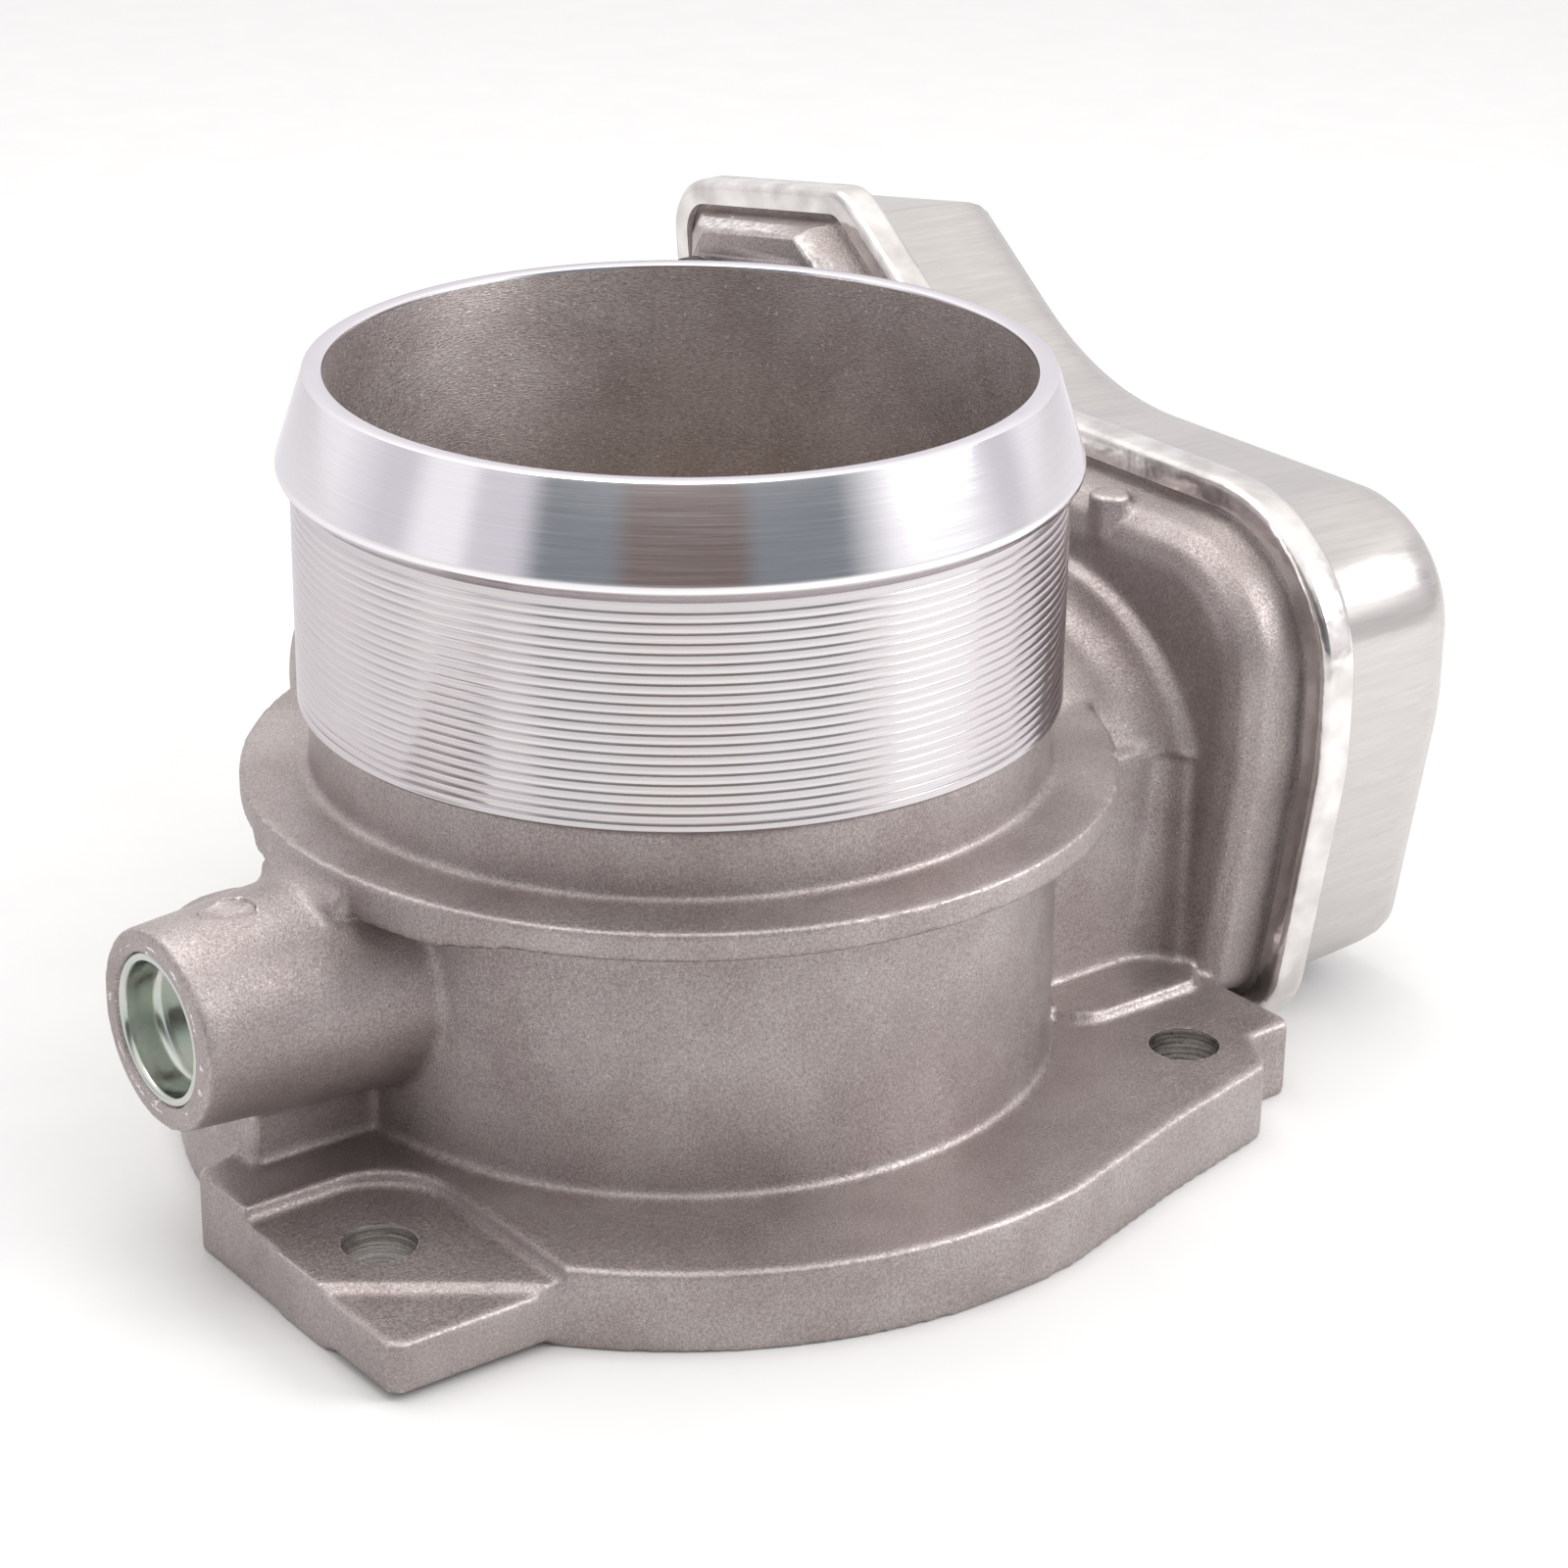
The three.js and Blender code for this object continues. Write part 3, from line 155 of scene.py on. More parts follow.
def turned_along_x(name, profile, y, z, segments=128):
    """Profile of (radius, x) turned about a line along x through (y, z)."""
    angles = np.linspace(0, 2 * math.pi, segments, endpoint=False)
    rings = [[(x, y + r * math.cos(a), z + r * math.sin(a)) for a in angles] for r, x in profile]
    return object_from(name, *skin(rings))


def lofted(name, rings, capped=True):
    points, faces = skin(rings)
    if capped:
        last = len(points) - len(rings[0])
        faces.append(tuple(range(len(rings[0]) - 1, -1, -1)))
        faces.append(tuple(range(last, len(points))))
    return object_from(name, points, faces)


def prism(name, outline, z0, z1):
    return lofted(name, [[(x, y, z) for x, y in outline] for z in (z0, z1)])


def prism_along_x(name, outline, x0, x1):
    return lofted(name, [[(x, y, z) for y, z in outline] for x in (x0, x1)])


def rod(name, radius, x0, x1, y, z, segments=96):
    return turned_along_x(name, [(0, x0), (radius, x0), (radius, x1), (0, x1)], y, z, segments)


def post(name, radius, z0, z1, x, y, segments=96):
    angles = np.linspace(0, 2 * math.pi, segments, endpoint=False)
    return prism(name, [(x + radius * math.cos(a), y + radius * math.sin(a)) for a in angles], z0, z1)


def box(name, x0, x1, y0, y1, z0, z1):
    return prism(name, [(x0, y0), (x1, y0), (x1, y1), (x0, y1)], z0, z1)


def rounded(corners, inset=0.0, steps=16):
    """Outline of a polygon of [u, v, radius] corners, rounded and moved inwards by inset."""
    count = len(corners)
    at = [np.array(corner[:2], dtype=float) for corner in corners]
    sides = []
    for i in range(count):
        along = at[(i + 1) % count] - at[i]
        along /= np.linalg.norm(along)
        inward = np.array([-along[1], along[0]])
        sides.append((at[i] + inward * inset, along, inward))
    outline = []
    for i in range(count):
        before_from, before_along, before_inward = sides[i - 1]
        after_from, after_along, _ = sides[i]
        cross = before_along[0] * after_along[1] - before_along[1] * after_along[0]
        gap = after_from - before_from
        reach = (gap[0] * after_along[1] - gap[1] * after_along[0]) / cross
        corner = before_from + before_along * reach
        turn = math.asin(cross)
        side = math.copysign(1, turn)
        radius = max(corners[i][2] - side * inset, 0.4)
        start = corner - before_along * radius * math.tan(abs(turn) / 2)
        centre = start + before_inward * side * radius
        spoke = start - centre
        for k in range(steps + 1):
            angle = turn * k / steps
            swung = (spoke[0] * math.cos(angle) - spoke[1] * math.sin(angle),
                     spoke[0] * math.sin(angle) + spoke[1] * math.cos(angle))
            outline.append((centre[0] + swung[0], centre[1] + swung[1]))
    return outline


def arc(cx, cy, radius, start, end, steps=24):
    """Points of an arc, angles in radians."""
    angles = np.linspace(start, end, steps)
    return [(cx + radius * math.cos(a), cy + radius * math.sin(a)) for a in angles]


def housing_rings(profile, steps=20):
    """The gear housing outline at each (inset, x) of a profile."""
    return [[(x, y, z) for y, z in rounded(HOUSING_CORNERS, inset, steps)] for inset, x in profile]


def bake(piece):
    """The piece's modifiers become its mesh."""
    shape = piece.evaluated_get(bpy.context.evaluated_depsgraph_get())
    mesh = bpy.data.meshes.new_from_object(shape)
    piece.modifiers.clear()
    piece.data = mesh
    return piece


def combine(operation, base, *others):
    """base joined with, cut by or crossed with the others, which are used up."""
    for other in others:
        modifier = base.modifiers.new("combine", "BOOLEAN")
        modifier.operation = operation
        modifier.solver = "MANIFOLD"
        modifier.object = other
        bake(base)
        bpy.data.objects.remove(other)
    return base


def join(base, *others):
    return combine("UNION", base, *others)


def cut(base, *others):
    return combine("DIFFERENCE", base, *others)


def remeshed(piece, voxel):
    """An even mesh over the piece, voxel mm wide."""
    modifier = piece.modifiers.new("remesh", "REMESH")
    modifier.mode = "VOXEL"
    modifier.voxel_size = voxel * MM
    return bake(piece)


def relaxed(piece, steps, weight=0.5):
    """Rounds edges and fills corners as a casting does, by moving each point towards its neighbours."""
    mesh = piece.data
    count = len(mesh.vertices)
    points = np.empty(count * 3)
    mesh.vertices.foreach_get("co", points)
    points = points.reshape(-1, 3)
    edges = np.empty(len(mesh.edges) * 2, dtype=np.int64)
    mesh.edges.foreach_get("vertices", edges)
    a, b = edges.reshape(-1, 2).T
    degree = np.bincount(np.concatenate([a, b]), minlength=count)
    for _ in range(steps):
        total = np.stack([
            np.bincount(a, points[b, k], count) + np.bincount(b, points[a, k], count) for k in range(3)
        ], axis=1)
        points += weight * (total / degree[:, None] - points)
    mesh.vertices.foreach_set("co", points.ravel())
    mesh.update()
    return piece


def smooth(piece, angle=35):
    mesh = piece.data
    mesh.polygons.foreach_set("use_smooth", [True] * len(mesh.polygons))
    mesh.set_sharp_from_angle(angle=math.radians(angle))
    return piece


# ---------- materials ----------

class Shader:
    """A node-based metal or plastic, with short calls for the nodes that this scene uses."""

    def __init__(self, name, **surface):
        self.material = bpy.data.materials.new(name)
        self.material.use_nodes = True
        self.tree = self.material.node_tree
        self.surface = self.tree.nodes["Principled BSDF"]
        for socket, value in surface.items():
            self.surface.inputs[socket.replace("_", " ")].default_value = value
        self.place = self.node("ShaderNodeTexCoord").outputs["Object"]

    def node(self, kind, **settings):
        made = self.tree.nodes.new(kind)
        for key, value in settings.items():
            setattr(made, key, value)
        return made

    def link(self, source, target):
        self.tree.links.new(source, target)

    def feed(self, source, socket):
        self.link(source, self.surface.inputs[socket])

    def stretched(self, scale):
        """Object coordinates scaled differently along x, y and z, for brushed and turned marks."""
        mapping = self.node("ShaderNodeMapping")
        mapping.inputs["Scale"].default_value = scale
        self.link(self.place, mapping.inputs["Vector"])
        return mapping.outputs["Vector"]

    def noise(self, scale, detail=2.0, roughness=0.5, along=(1, 1, 1)):
        texture = self.node("ShaderNodeTexNoise")
        texture.inputs["Scale"].default_value = scale
        texture.inputs["Detail"].default_value = detail
        texture.inputs["Roughness"].default_value = roughness
        self.link(self.stretched(along), texture.inputs["Vector"])
        return texture.outputs["Fac"]

    def cells(self, scale, output="Distance"):
        texture = self.node("ShaderNodeTexVoronoi")
        texture.inputs["Scale"].default_value = scale
        self.link(self.place, texture.inputs["Vector"])
        return texture.outputs[output]

    def ramp(self, source, *stops):
        """Each stop is (place, value) for a grey or (place, (r, g, b)) for a colour."""
        made = self.node("ShaderNodeValToRGB")
        points = made.color_ramp.elements
        while len(points) < len(stops):
            points.new(0.5)
        for point, (place, value) in zip(points, stops):
            point.position = place
            point.color = (*value, 1) if isinstance(value, tuple) else (value, value, value, 1)
        self.link(source, made.inputs["Fac"])
        return made.outputs["Color"]

    def mix(self, factor, a, b, blend="MIX"):
        """Colour a turned into colour b by factor. Either colour may be a socket or (r, g, b)."""
        made = self.node("ShaderNodeMix", data_type="RGBA", blend_type=blend)
        for source, socket in ((factor, made.inputs[0]), (a, made.inputs[6]), (b, made.inputs[7])):
            if isinstance(source, bpy.types.NodeSocket):
                self.link(source, socket)
            else:
                socket.default_value = (*source, 1) if isinstance(source, tuple) else source
        return made.outputs[2]

    def bump(self, height, strength, distance, under=None):
        """Bump of a height texture, distance mm high, on top of another bump."""
        made = self.node("ShaderNodeBump")
        made.inputs["Strength"].default_value = strength
        made.inputs["Distance"].default_value = distance * MM
        self.link(height, made.inputs["Height"])
        if under:
            self.link(under, made.inputs["Normal"])
        return made.outputs["Normal"]

    def edges(self, low, high):
        """White on outward edges, black elsewhere."""
        bend = self.node("ShaderNodeNewGeometry").outputs["Pointiness"]
        return self.ramp(bend, (low, 0.0), (high, 1.0))

    def hollows(self, low, high):
        """White in inward corners, black elsewhere."""
        bend = self.node("ShaderNodeNewGeometry").outputs["Pointiness"]
        return self.ramp(bend, (low, 1.0), (high, 0.0))


def cast_aluminium(name, marks=(1, 1, 1), flecks=(5200, 0.93)):
    """Shot-blasted casting. The grain is stretched by marks where a tool has been over it, and
    flecks are the size and share of its bright grains."""
    look = Shader(name, Metallic=0.9, Roughness=0.5)
    cloud = look.ramp(look.noise(80, 4), (0.35, (0.40, 0.353, 0.343)), (0.65, (0.485, 0.44, 0.43)))
    grain = look.noise(3400, 3, 0.7, marks)
    grain = look.ramp(grain, (0.35, (0.58, 0.56, 0.56)), (0.68, (1.22, 1.22, 1.22)))
    body = look.mix(0.75, cloud, grain, "MULTIPLY")
    sparkle = look.ramp(look.cells(flecks[0], "Color"), (flecks[1], 0.0), (1.0, 0.8))
    body = look.mix(sparkle, body, (0.74, 0.72, 0.71))
    # Painted shade: inward corners and creases are darkened in the colour itself.
    body = look.mix(look.hollows(0.37, 0.475), body, (0.2, 0.172, 0.167))
    ragged = look.ramp(look.noise(900, 4, 0.7), (0.36, 0.0), (0.56, 1.0))
    worn = look.mix(1.0, look.edges(0.535, 0.58), ragged, "MULTIPLY")
    look.feed(look.mix(worn, body, (0.86, 0.83, 0.82)), "Base Color")
    look.feed(look.ramp(look.noise(1900, 2), (0.3, 0.38), (0.7, 0.6)), "Roughness")
    rough = look.bump(look.noise(3000, 3, 0.65, marks), 0.8, 0.085)
    look.feed(look.bump(look.noise(160, 3), 0.35, 0.3, rough), "Normal")
    return look.material


def turned_aluminium(name, dark, light, roughness):
    """Turned about the bore axis, with fine tool rings. dark and light are its two tones."""
    look = Shader(name, Metallic=1.0, Roughness=roughness, Anisotropic=0.7, Anisotropic_Rotation=0.25,
                  Specular_Tint=(0.80, 0.78, 0.81, 1))
    look.link(look.node("ShaderNodeTangent", direction_type="RADIAL", axis="Z").outputs["Tangent"],
              look.surface.inputs["Tangent"])
    rings = look.noise(1.0, 4, 0.6, along=(30, 30, 9000))
    look.feed(look.ramp(rings, (0.3, dark), (0.7, light)), "Base Color")
    polish = look.noise(1.0, 3, 0.6, along=(60, 60, 5000))
    look.feed(look.ramp(polish, (0.3, roughness - 0.04), (0.7, roughness + 0.06)), "Roughness")
    look.feed(look.bump(rings, 0.15, 0.012), "Normal")
    return look.material


def machined_aluminium():
    """Bored or faced, with visible tool rings."""
    look = Shader("machined_aluminium", Metallic=1.0, Roughness=0.3)
    rings = look.noise(1.0, 3, 0.6, along=(70, 70, 2600))
    look.feed(look.ramp(rings, (0.38, (0.42, 0.39, 0.37)), (0.6, (0.9, 0.88, 0.86))), "Base Color")
    look.feed(look.ramp(look.noise(900, 3), (0.3, 0.2), (0.7, 0.38)), "Roughness")
    look.feed(look.bump(rings, 0.8, 0.12), "Normal")
    return look.material


def stainless():
    """Satin sheet, brushed along x."""
    look = Shader("brushed_stainless", Metallic=1.0, Roughness=0.25, Anisotropic=0.5)
    brushed = look.noise(1.0, 4, 0.6, along=(18, 1900, 1900))
    long = look.noise(1.0, 3, 0.6, along=(5, 330, 330))
    tone = look.ramp(brushed, (0.3, (0.54, 0.515, 0.50)), (0.7, (0.60, 0.575, 0.56)))
    look.feed(look.mix(0.35, tone, look.ramp(long, (0.3, 0.82), (0.6, 1.03)), "MULTIPLY"), "Base Color")
    look.feed(look.ramp(long, (0.3, 0.2), (0.7, 0.32)), "Roughness")
    look.feed(look.bump(brushed, 0.12, 0.012, look.bump(look.noise(45, 2), 0.2, 0.3)), "Normal")
    return look.material


def rolled_stainless():
    """The crimped lip, polished by the rollers, with shallow dents."""
    look = Shader("rolled_stainless", Metallic=1.0, Roughness=0.16)
    tone = look.ramp(look.noise(160, 3), (0.35, (0.62, 0.59, 0.575)), (0.65, (0.84, 0.81, 0.795)))
    look.feed(tone, "Base Color")
    look.feed(look.ramp(look.noise(420, 3), (0.3, 0.1), (0.7, 0.26)), "Roughness")
    look.feed(look.bump(look.noise(230, 2), 0.7, 0.3), "Normal")
    return look.material


def zinc():
    look = Shader("zinc_plate", Metallic=1.0, Roughness=0.2)
    tint = look.ramp(look.noise(45, 2), (0.3, (0.50, 0.55, 0.50)), (0.48, (0.60, 0.60, 0.56)),
                     (0.6, (0.56, 0.58, 0.57)), (0.75, (0.63, 0.60, 0.56)))
    look.feed(tint, "Base Color")
    look.feed(look.ramp(look.noise(700, 3), (0.3, 0.14), (0.7, 0.27)), "Roughness")
    look.feed(look.bump(look.noise(1500, 2), 0.12, 0.012), "Normal")
    return look.material


def steel():
    look = Shader("ground_steel", Metallic=1.0, Roughness=0.25)
    lines = look.noise(1.0, 4, 0.6, along=(5000, 60, 60))
    look.feed(look.ramp(lines, (0.3, (0.46, 0.46, 0.47)), (0.7, (0.68, 0.68, 0.69))), "Base Color")
    look.feed(look.ramp(look.noise(600, 3), (0.3, 0.18), (0.7, 0.34)), "Roughness")
    look.feed(look.bump(lines, 0.2, 0.02), "Normal")
    return look.material


def brass():
    look = Shader("turned_brass", Metallic=1.0, Roughness=0.3)
    lines = look.noise(1.0, 4, 0.6, along=(2200, 50, 50))
    look.feed(look.ramp(lines, (0.3, (0.50, 0.36, 0.15)), (0.7, (0.70, 0.53, 0.25))), "Base Color")
    look.feed(look.ramp(look.noise(500, 4), (0.3, 0.22), (0.7, 0.44)), "Roughness")
    look.feed(look.bump(lines, 0.25, 0.02), "Normal")
    return look.material


def moulded(name, dark, light, roughness):
    """Moulded plastic or rubber: faint mottling, fine texture and dull patches."""
    look = Shader(name, Metallic=0.0, Roughness=roughness)
    look.feed(look.ramp(look.noise(260, 4), (0.3, dark), (0.7, light)), "Base Color")
    dull = look.ramp(look.noise(900, 3), (0.3, roughness - 0.1), (0.7, roughness + 0.12))
    look.feed(dull, "Roughness")
    look.feed(look.bump(look.noise(3800, 2), 0.35, 0.04), "Normal")
    return look.material


def magnet():
    look = Shader("sintered_magnet", Metallic=0.5, Roughness=0.5)
    tone = look.ramp(look.noise(1500, 4), (0.3, (0.05, 0.05, 0.055)), (0.7, (0.13, 0.13, 0.14)))
    look.feed(tone, "Base Color")
    look.feed(look.bump(look.noise(2600, 3), 0.4, 0.05), "Normal")
    return look.material


def circuit_board():
    look = Shader("circuit_board", Metallic=0.0, Roughness=0.35)
    tracks = look.ramp(look.cells(240), (0.1, (0.015, 0.11, 0.04)), (0.35, (0.03, 0.19, 0.075)))
    look.feed(tracks, "Base Color")
    look.feed(look.bump(look.cells(240), 0.3, 0.05), "Normal")
    return look.material


CAST = cast_aluminium("cast_aluminium")
BORE_WALL = cast_aluminium("bore_wall", (0.5, 0.5, 1.6), (2900, 0.86))
TURNED = turned_aluminium("turned_aluminium", (0.85, 0.835, 0.86), (0.93, 0.915, 0.935), 0.13)
# Painted shade: darker copies of the turned metal for the grooved band below the bead, standing in for
# the darker reflections there.
SHADED_RIDGES = turned_aluminium("hose_ridges_painted_shade", (0.57, 0.54, 0.55), (0.68, 0.65, 0.66), 0.22)
SHADED_GROOVE_FACES = turned_aluminium("hose_grooves_painted_shade", (0.64, 0.60, 0.61), (0.80, 0.76, 0.77), 0.16)
MACHINED = machined_aluminium()
STAINLESS = stainless()
ROLLED = rolled_stainless()
ZINC = zinc()
STEEL = steel()
BRASS = brass()
RUBBER = moulded("rubber", (0.008, 0.008, 0.009), (0.02, 0.02, 0.021), 0.7)
BLACK_PLASTIC = moulded("black_plastic", (0.010, 0.010, 0.012), (0.026, 0.026, 0.028), 0.45)
GEAR_PLASTIC = moulded("natural_nylon", (0.58, 0.53, 0.42), (0.72, 0.67, 0.56), 0.42)
CONTACT = moulded("tin_plate", (0.5, 0.46, 0.36), (0.72, 0.68, 0.56), 0.25)
MAGNET = magnet()
BOARD = circuit_board()


def dress(piece, slot, *materials):
    """Gives the piece its materials; its slot is not used."""
    piece.data.materials.clear()
    for material in materials:
        piece.data.materials.append(material)
    return piece


def paint(piece, index, test):
    """Material index on the faces whose centre, in mm about the bore axis, passes the test."""
    mesh = piece.data
    centres = np.empty(len(mesh.polygons) * 3)
    mesh.polygons.foreach_get("center", centres)
    x, y, z = ((centres.reshape(-1, 3) - BORE_AXIS) / MM).T
    indices = np.empty(len(mesh.polygons), dtype=np.int32)
    mesh.polygons.foreach_get("material_index", indices)
    indices[test(x, y, z)] = index
    mesh.polygons.foreach_set("material_index", indices)
    mesh.update()


def mounted(piece, body, *nodes):
    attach(piece, body)
    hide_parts(*nodes)
    return piece


# ---------- housing casting ----------

# Cycles' pointiness takes points closer than 0.35 mm as one, so the relaxed mesh stays coarser.
VOXEL = 0.6


def flange_outline():
    lug_front = -46.3
    left = math.atan2(lug_front, -math.sqrt(FLANGE_R ** 2 - lug_front ** 2))
    right = math.atan2(-68.7, 13.4)
    return [
        (-69.2, 2.9), (-74.2, 2.2), (-75.4, 1.0), (-76.2, -26),
        *arc(-73.9, -44.0, 2.3, math.pi, 1.5 * math.pi, 8),
        *arc(0, 0, FLANGE_R, left, right, 40),
        (35.6, -62.3), (55.7, -57.7), (57.5, -55.9), (60.3, -50.1), (67.6, -50), (68.6, -48.4),
        (68.6, 22),
        *arc(0, 0, 71, 0.42, 1.7, 48),
        *arc(*BOLT_HOLES[2], 13, 1.35, 2.9, 24),
        *arc(0, 0, FLANGE_R - 1, 2.2, 3.1, 30),
    ]


def flange():
    plate = prism("flange", flange_outline(), 0, FLANGE_T)
    lug = prism("lug", [(-90, -60), (-45, -60), (-45, -25), (-90, -25)], -1, LUG_LIFT)
    cut(lug, post("disc", FLANGE_R, -2, LUG_LIFT + 1, 0, 0),
        post("pad", BOLT_PAD_R, -2, 9, *BOLT_HOLES[0]))
    spot = rounded([(-90, -60, 1), (-51.6, -60, 1), (-51.6, -10.7, 11), (-90, -10.7, 1)])
    corner = rounded([
        (-90, -60, 1), (-54.2, -60, 1), (-54.2, -45.0, 0.5), (-75.0, -29.9, 2.5), (-90, -26.5, 1),
    ])
    cut(plate, lug, prism("spot", spot, FLANGE_T - 2.2, FLANGE_T + 5),
        prism("corner", corner, FLANGE_T - 3.1, FLANGE_T + 5))
    terrace = rounded([
        (41.6, -34.7, 6), (64, -34.7, 0.5), (68.6, -30, 0.5), (68.6, 10, 1), (41.6, 10, 1),
    ])
    return join(plate, prism("terrace", terrace, FLANGE_T - 1, FLANGE_T + 1.7))


def turned_body():
    return turned("body", [
        (BORE_R - 3, 0), (BODY_R, 0), (BODY_R, COLLAR_Z[0]), (COLLAR_R, COLLAR_Z[0]),
        (COLLAR_R, COLLAR_Z[1]), (NECK_R, COLLAR_Z[1]), (NECK_R, SPIGOT_Z), (BORE_R - 3, SPIGOT_Z),
        (BORE_R - 3, 0),
    ])


def bearing_boss():
    barrel = turned_along_x("boss", [
        (0, BOSS_END_X), (BOSS_R, BOSS_END_X), (BOSS_ROOT_R, -52), (BOSS_ROOT_R + 0.4, -44.5),
        (0, -44.5),
    ], 0, SHAFT_Z)
    return join(barrel, box("web", -68.5, -48, -2.4, 9, FLANGE_T - 1, SHAFT_Z - 5))


def collar_root():
    """Where the collar runs into the bearing boss: it is deeper there and bulges over the boss."""
    gusset = turned("gusset", [(48, 42), (60.8, 42), (60.8, 47.5), (58.5, 50.0), (48, 50.0), (48, 42)])
    combine("INTERSECT", gusset, box("zone", -70, -50, -8.8, 9, 42, 52))
    rings = []
    for a in np.linspace(2.85, 3.8, 24):
        low = COLLAR_Z[0] - 1.6 * min(1, max(0, (3.72 - a) / 0.2)) - 0.2 * math.sin(11 * a)
        rings.append([(r * math.cos(a), r * math.sin(a), z)
                      for r, z in ((48, low), (COLLAR_R, low), (COLLAR_R, 49), (48, 49))])
    return join(gusset, lofted("deep_edge", rings))


def boss_end():
    """The crisp, rounded end of the bearing boss."""
    edge = arc(BOSS_R - 2, BOSS_END_X + 2, 2, -math.pi / 2, 0, 8)
    return turned_along_x("boss_end", [
        (0, BOSS_END_X), *edge, (BOSS_R + 0.28, BOSS_END_X + 4.6), (BOSS_R, BOSS_END_X + 4.8),
        (0, BOSS_END_X + 4.8),
    ], 0, SHAFT_Z)


def drive_drum():
    """The drum round the driven end of the shaft: an arch that flares into the pan, on a block."""
    drum = turned_along_x("drum", [
        (0, DRUM_X), (DRUM_R, DRUM_X), (DRUM_R, PAN_BACK_X - 7.5), (DRUM_R + 0.25, PAN_BACK_X - 6.3),
        (DRUM_R + 0.7, PAN_BACK_X - 5.1), (DRUM_R + 1.4, PAN_BACK_X - 4.1),
        (DRUM_R + 2.4, PAN_BACK_X - 3.2), (DRUM_R + 3.7, PAN_BACK_X - 2.5),
        (DRUM_R + 4.7, PAN_BACK_X - 2.0), (DRUM_R + 5.1, PAN_BACK_X - 1.2),
        (DRUM_R + 5.2, PAN_BACK_X + 1), (0, PAN_BACK_X + 1),
    ], 0, SHAFT_Z)
    combine("INTERSECT", drum, box("arch", DRUM_X - 1, 80, -50, 50, BLOCK_TOP_Z - 1, 90))
    wall = [(-24.4, FLANGE_T - 1), (24.4, FLANGE_T - 1), (25.6, BLOCK_TOP_Z), (-25.6, BLOCK_TOP_Z)]
    foot = [(58, 24.2), (60.5, 24.7), (62.5, 25.4), (64.5, 26.8), (65.6, 29), (PAN_BACK_X + 1, 29.5)]
    flare = [(x, -y) for x, y in foot] + foot[::-1]
    return join(drum, prism_along_x("wall", wall, DRUM_X, PAN_BACK_X + 1),
                prism("flare", flare, FLANGE_T - 1, BLOCK_TOP_Z))


def back_corner(inset):
    """The space beyond the sloped end wall of the pan's upper back corner, moved inwards by inset."""
    foot, top = (Vector(point) for point in BACK_CORNER)
    along = (top - foot).normalized()
    inward = Vector((along.y, -along.x)) * inset
    start, end = foot - along * 10 + inward, top + inward
    outline = [(start.x, start.y), (end.x, end.y), (end.x, end.y + 20), (start.x, end.y + 20)]
    return prism("back_corner", outline, BACK_CORNER_Z[0] - inset, BACK_CORNER_Z[1])


def gear_pan():
    pan = lofted("pan", housing_rings([
        (11.0, PAN_BACK_X), (8.0, PAN_BACK_X + 1.2), (6.0, PAN_BACK_X + 3.8), (5.0, PAN_RIM_X),
        (1.8, PAN_RIM_X), (1.8, PAN_FLANGE_X),
    ]))
    tube = turned_along_x("tube", [
        (0, MOTOR_TUBE_X), (MOTOR_TUBE_R - 6, MOTOR_TUBE_X), (MOTOR_TUBE_R - 2, MOTOR_TUBE_X + 1.4),
        (MOTOR_TUBE_R - 0.3, MOTOR_TUBE_X + 4.6), (MOTOR_TUBE_R, MOTOR_TUBE_X + 8),
        (MOTOR_TUBE_R + 0.8, PAN_BACK_X - 3), (MOTOR_TUBE_R + 3, PAN_BACK_X + 1), (0, PAN_BACK_X + 1),
    ], MOTOR_Y, MOTOR_Z)
    bridge = box("bridge", -2, PAN_BACK_X + 1, 40, 60, 24, 46)
    pad = post("cast_pad", 3.0, 70, 76.6, 68.8, -7.5)
    return join(cut(pan, back_corner(0)), tube, bridge, pad)


def corner_panel():
    """The flat, crisp-edged panel at the pan's upper back corner."""
    rings = housing_rings([(6.6, PANEL_X), (6.1, PANEL_X + 0.45), (5.4, 72), (5.4, 75.5)])
    panel = lofted("panel", rings)
    return combine("INTERSECT", panel, box("zone", 60, 80, 46, 112, 85.5, 110))


def panel_cuts():
    """What the panel's face, its leaning end and the pan's sloped end wall are cut with."""
    lean = [(99.5, 80), (84.1, 104), (130, 104), (130, 80)]
    slope = (BACK_CORNER[1][1] - BACK_CORNER[0][1]) / (BACK_CORNER[1][0] - BACK_CORNER[0][0])
    end = lofted("end", [[(x, y + (x - 70.6) * slope, z) for y, z in lean] for x in (64, 76.4)])
    return box("face", 60, PANEL_X, 46, 112, 85.5, 110), end, back_corner(0)


def hollow_region():
    """The space inside the pan, where the casting follows the CAD node."""
    rings = housing_rings([(10.2, PAN_BACK_X + 1.4), (7.2, PAN_BACK_X + 4.4), (6.9, 100)], 8)
    inside = lofted("inside", rings)
    cut(inside, back_corner(PAN_WALL / 2))
    return join(inside, rod("pocket", 17, PAN_BACK_X - 0.4, 75, 0, SHAFT_Z))


def shaft_line():
    """Everything bored along the shaft: plug seat, bearings, seals and the shaft's own hole."""
    steps = [
        (BOSS_END_X - 1, PLUG_R + 0.1), (BOSS_END_X + PLUG_DEPTH + 0.4, 7.1), (-57.9, 8.1),
        (-52.3, 5.4), (51.9, 8.1), (56.9, 13.1), (65.1, 14.1), (66.5, 13.1), (70.0, 13.1),
    ]
    profile = [(0, steps[0][0])]
    for (x, radius), (next_x, _) in zip(steps, steps[1:]):
        profile += [(radius, x), (radius, next_x)]
    profile.append((0, steps[-1][0]))
    return turned_along_x("shaft_line", profile, 0, SHAFT_Z)


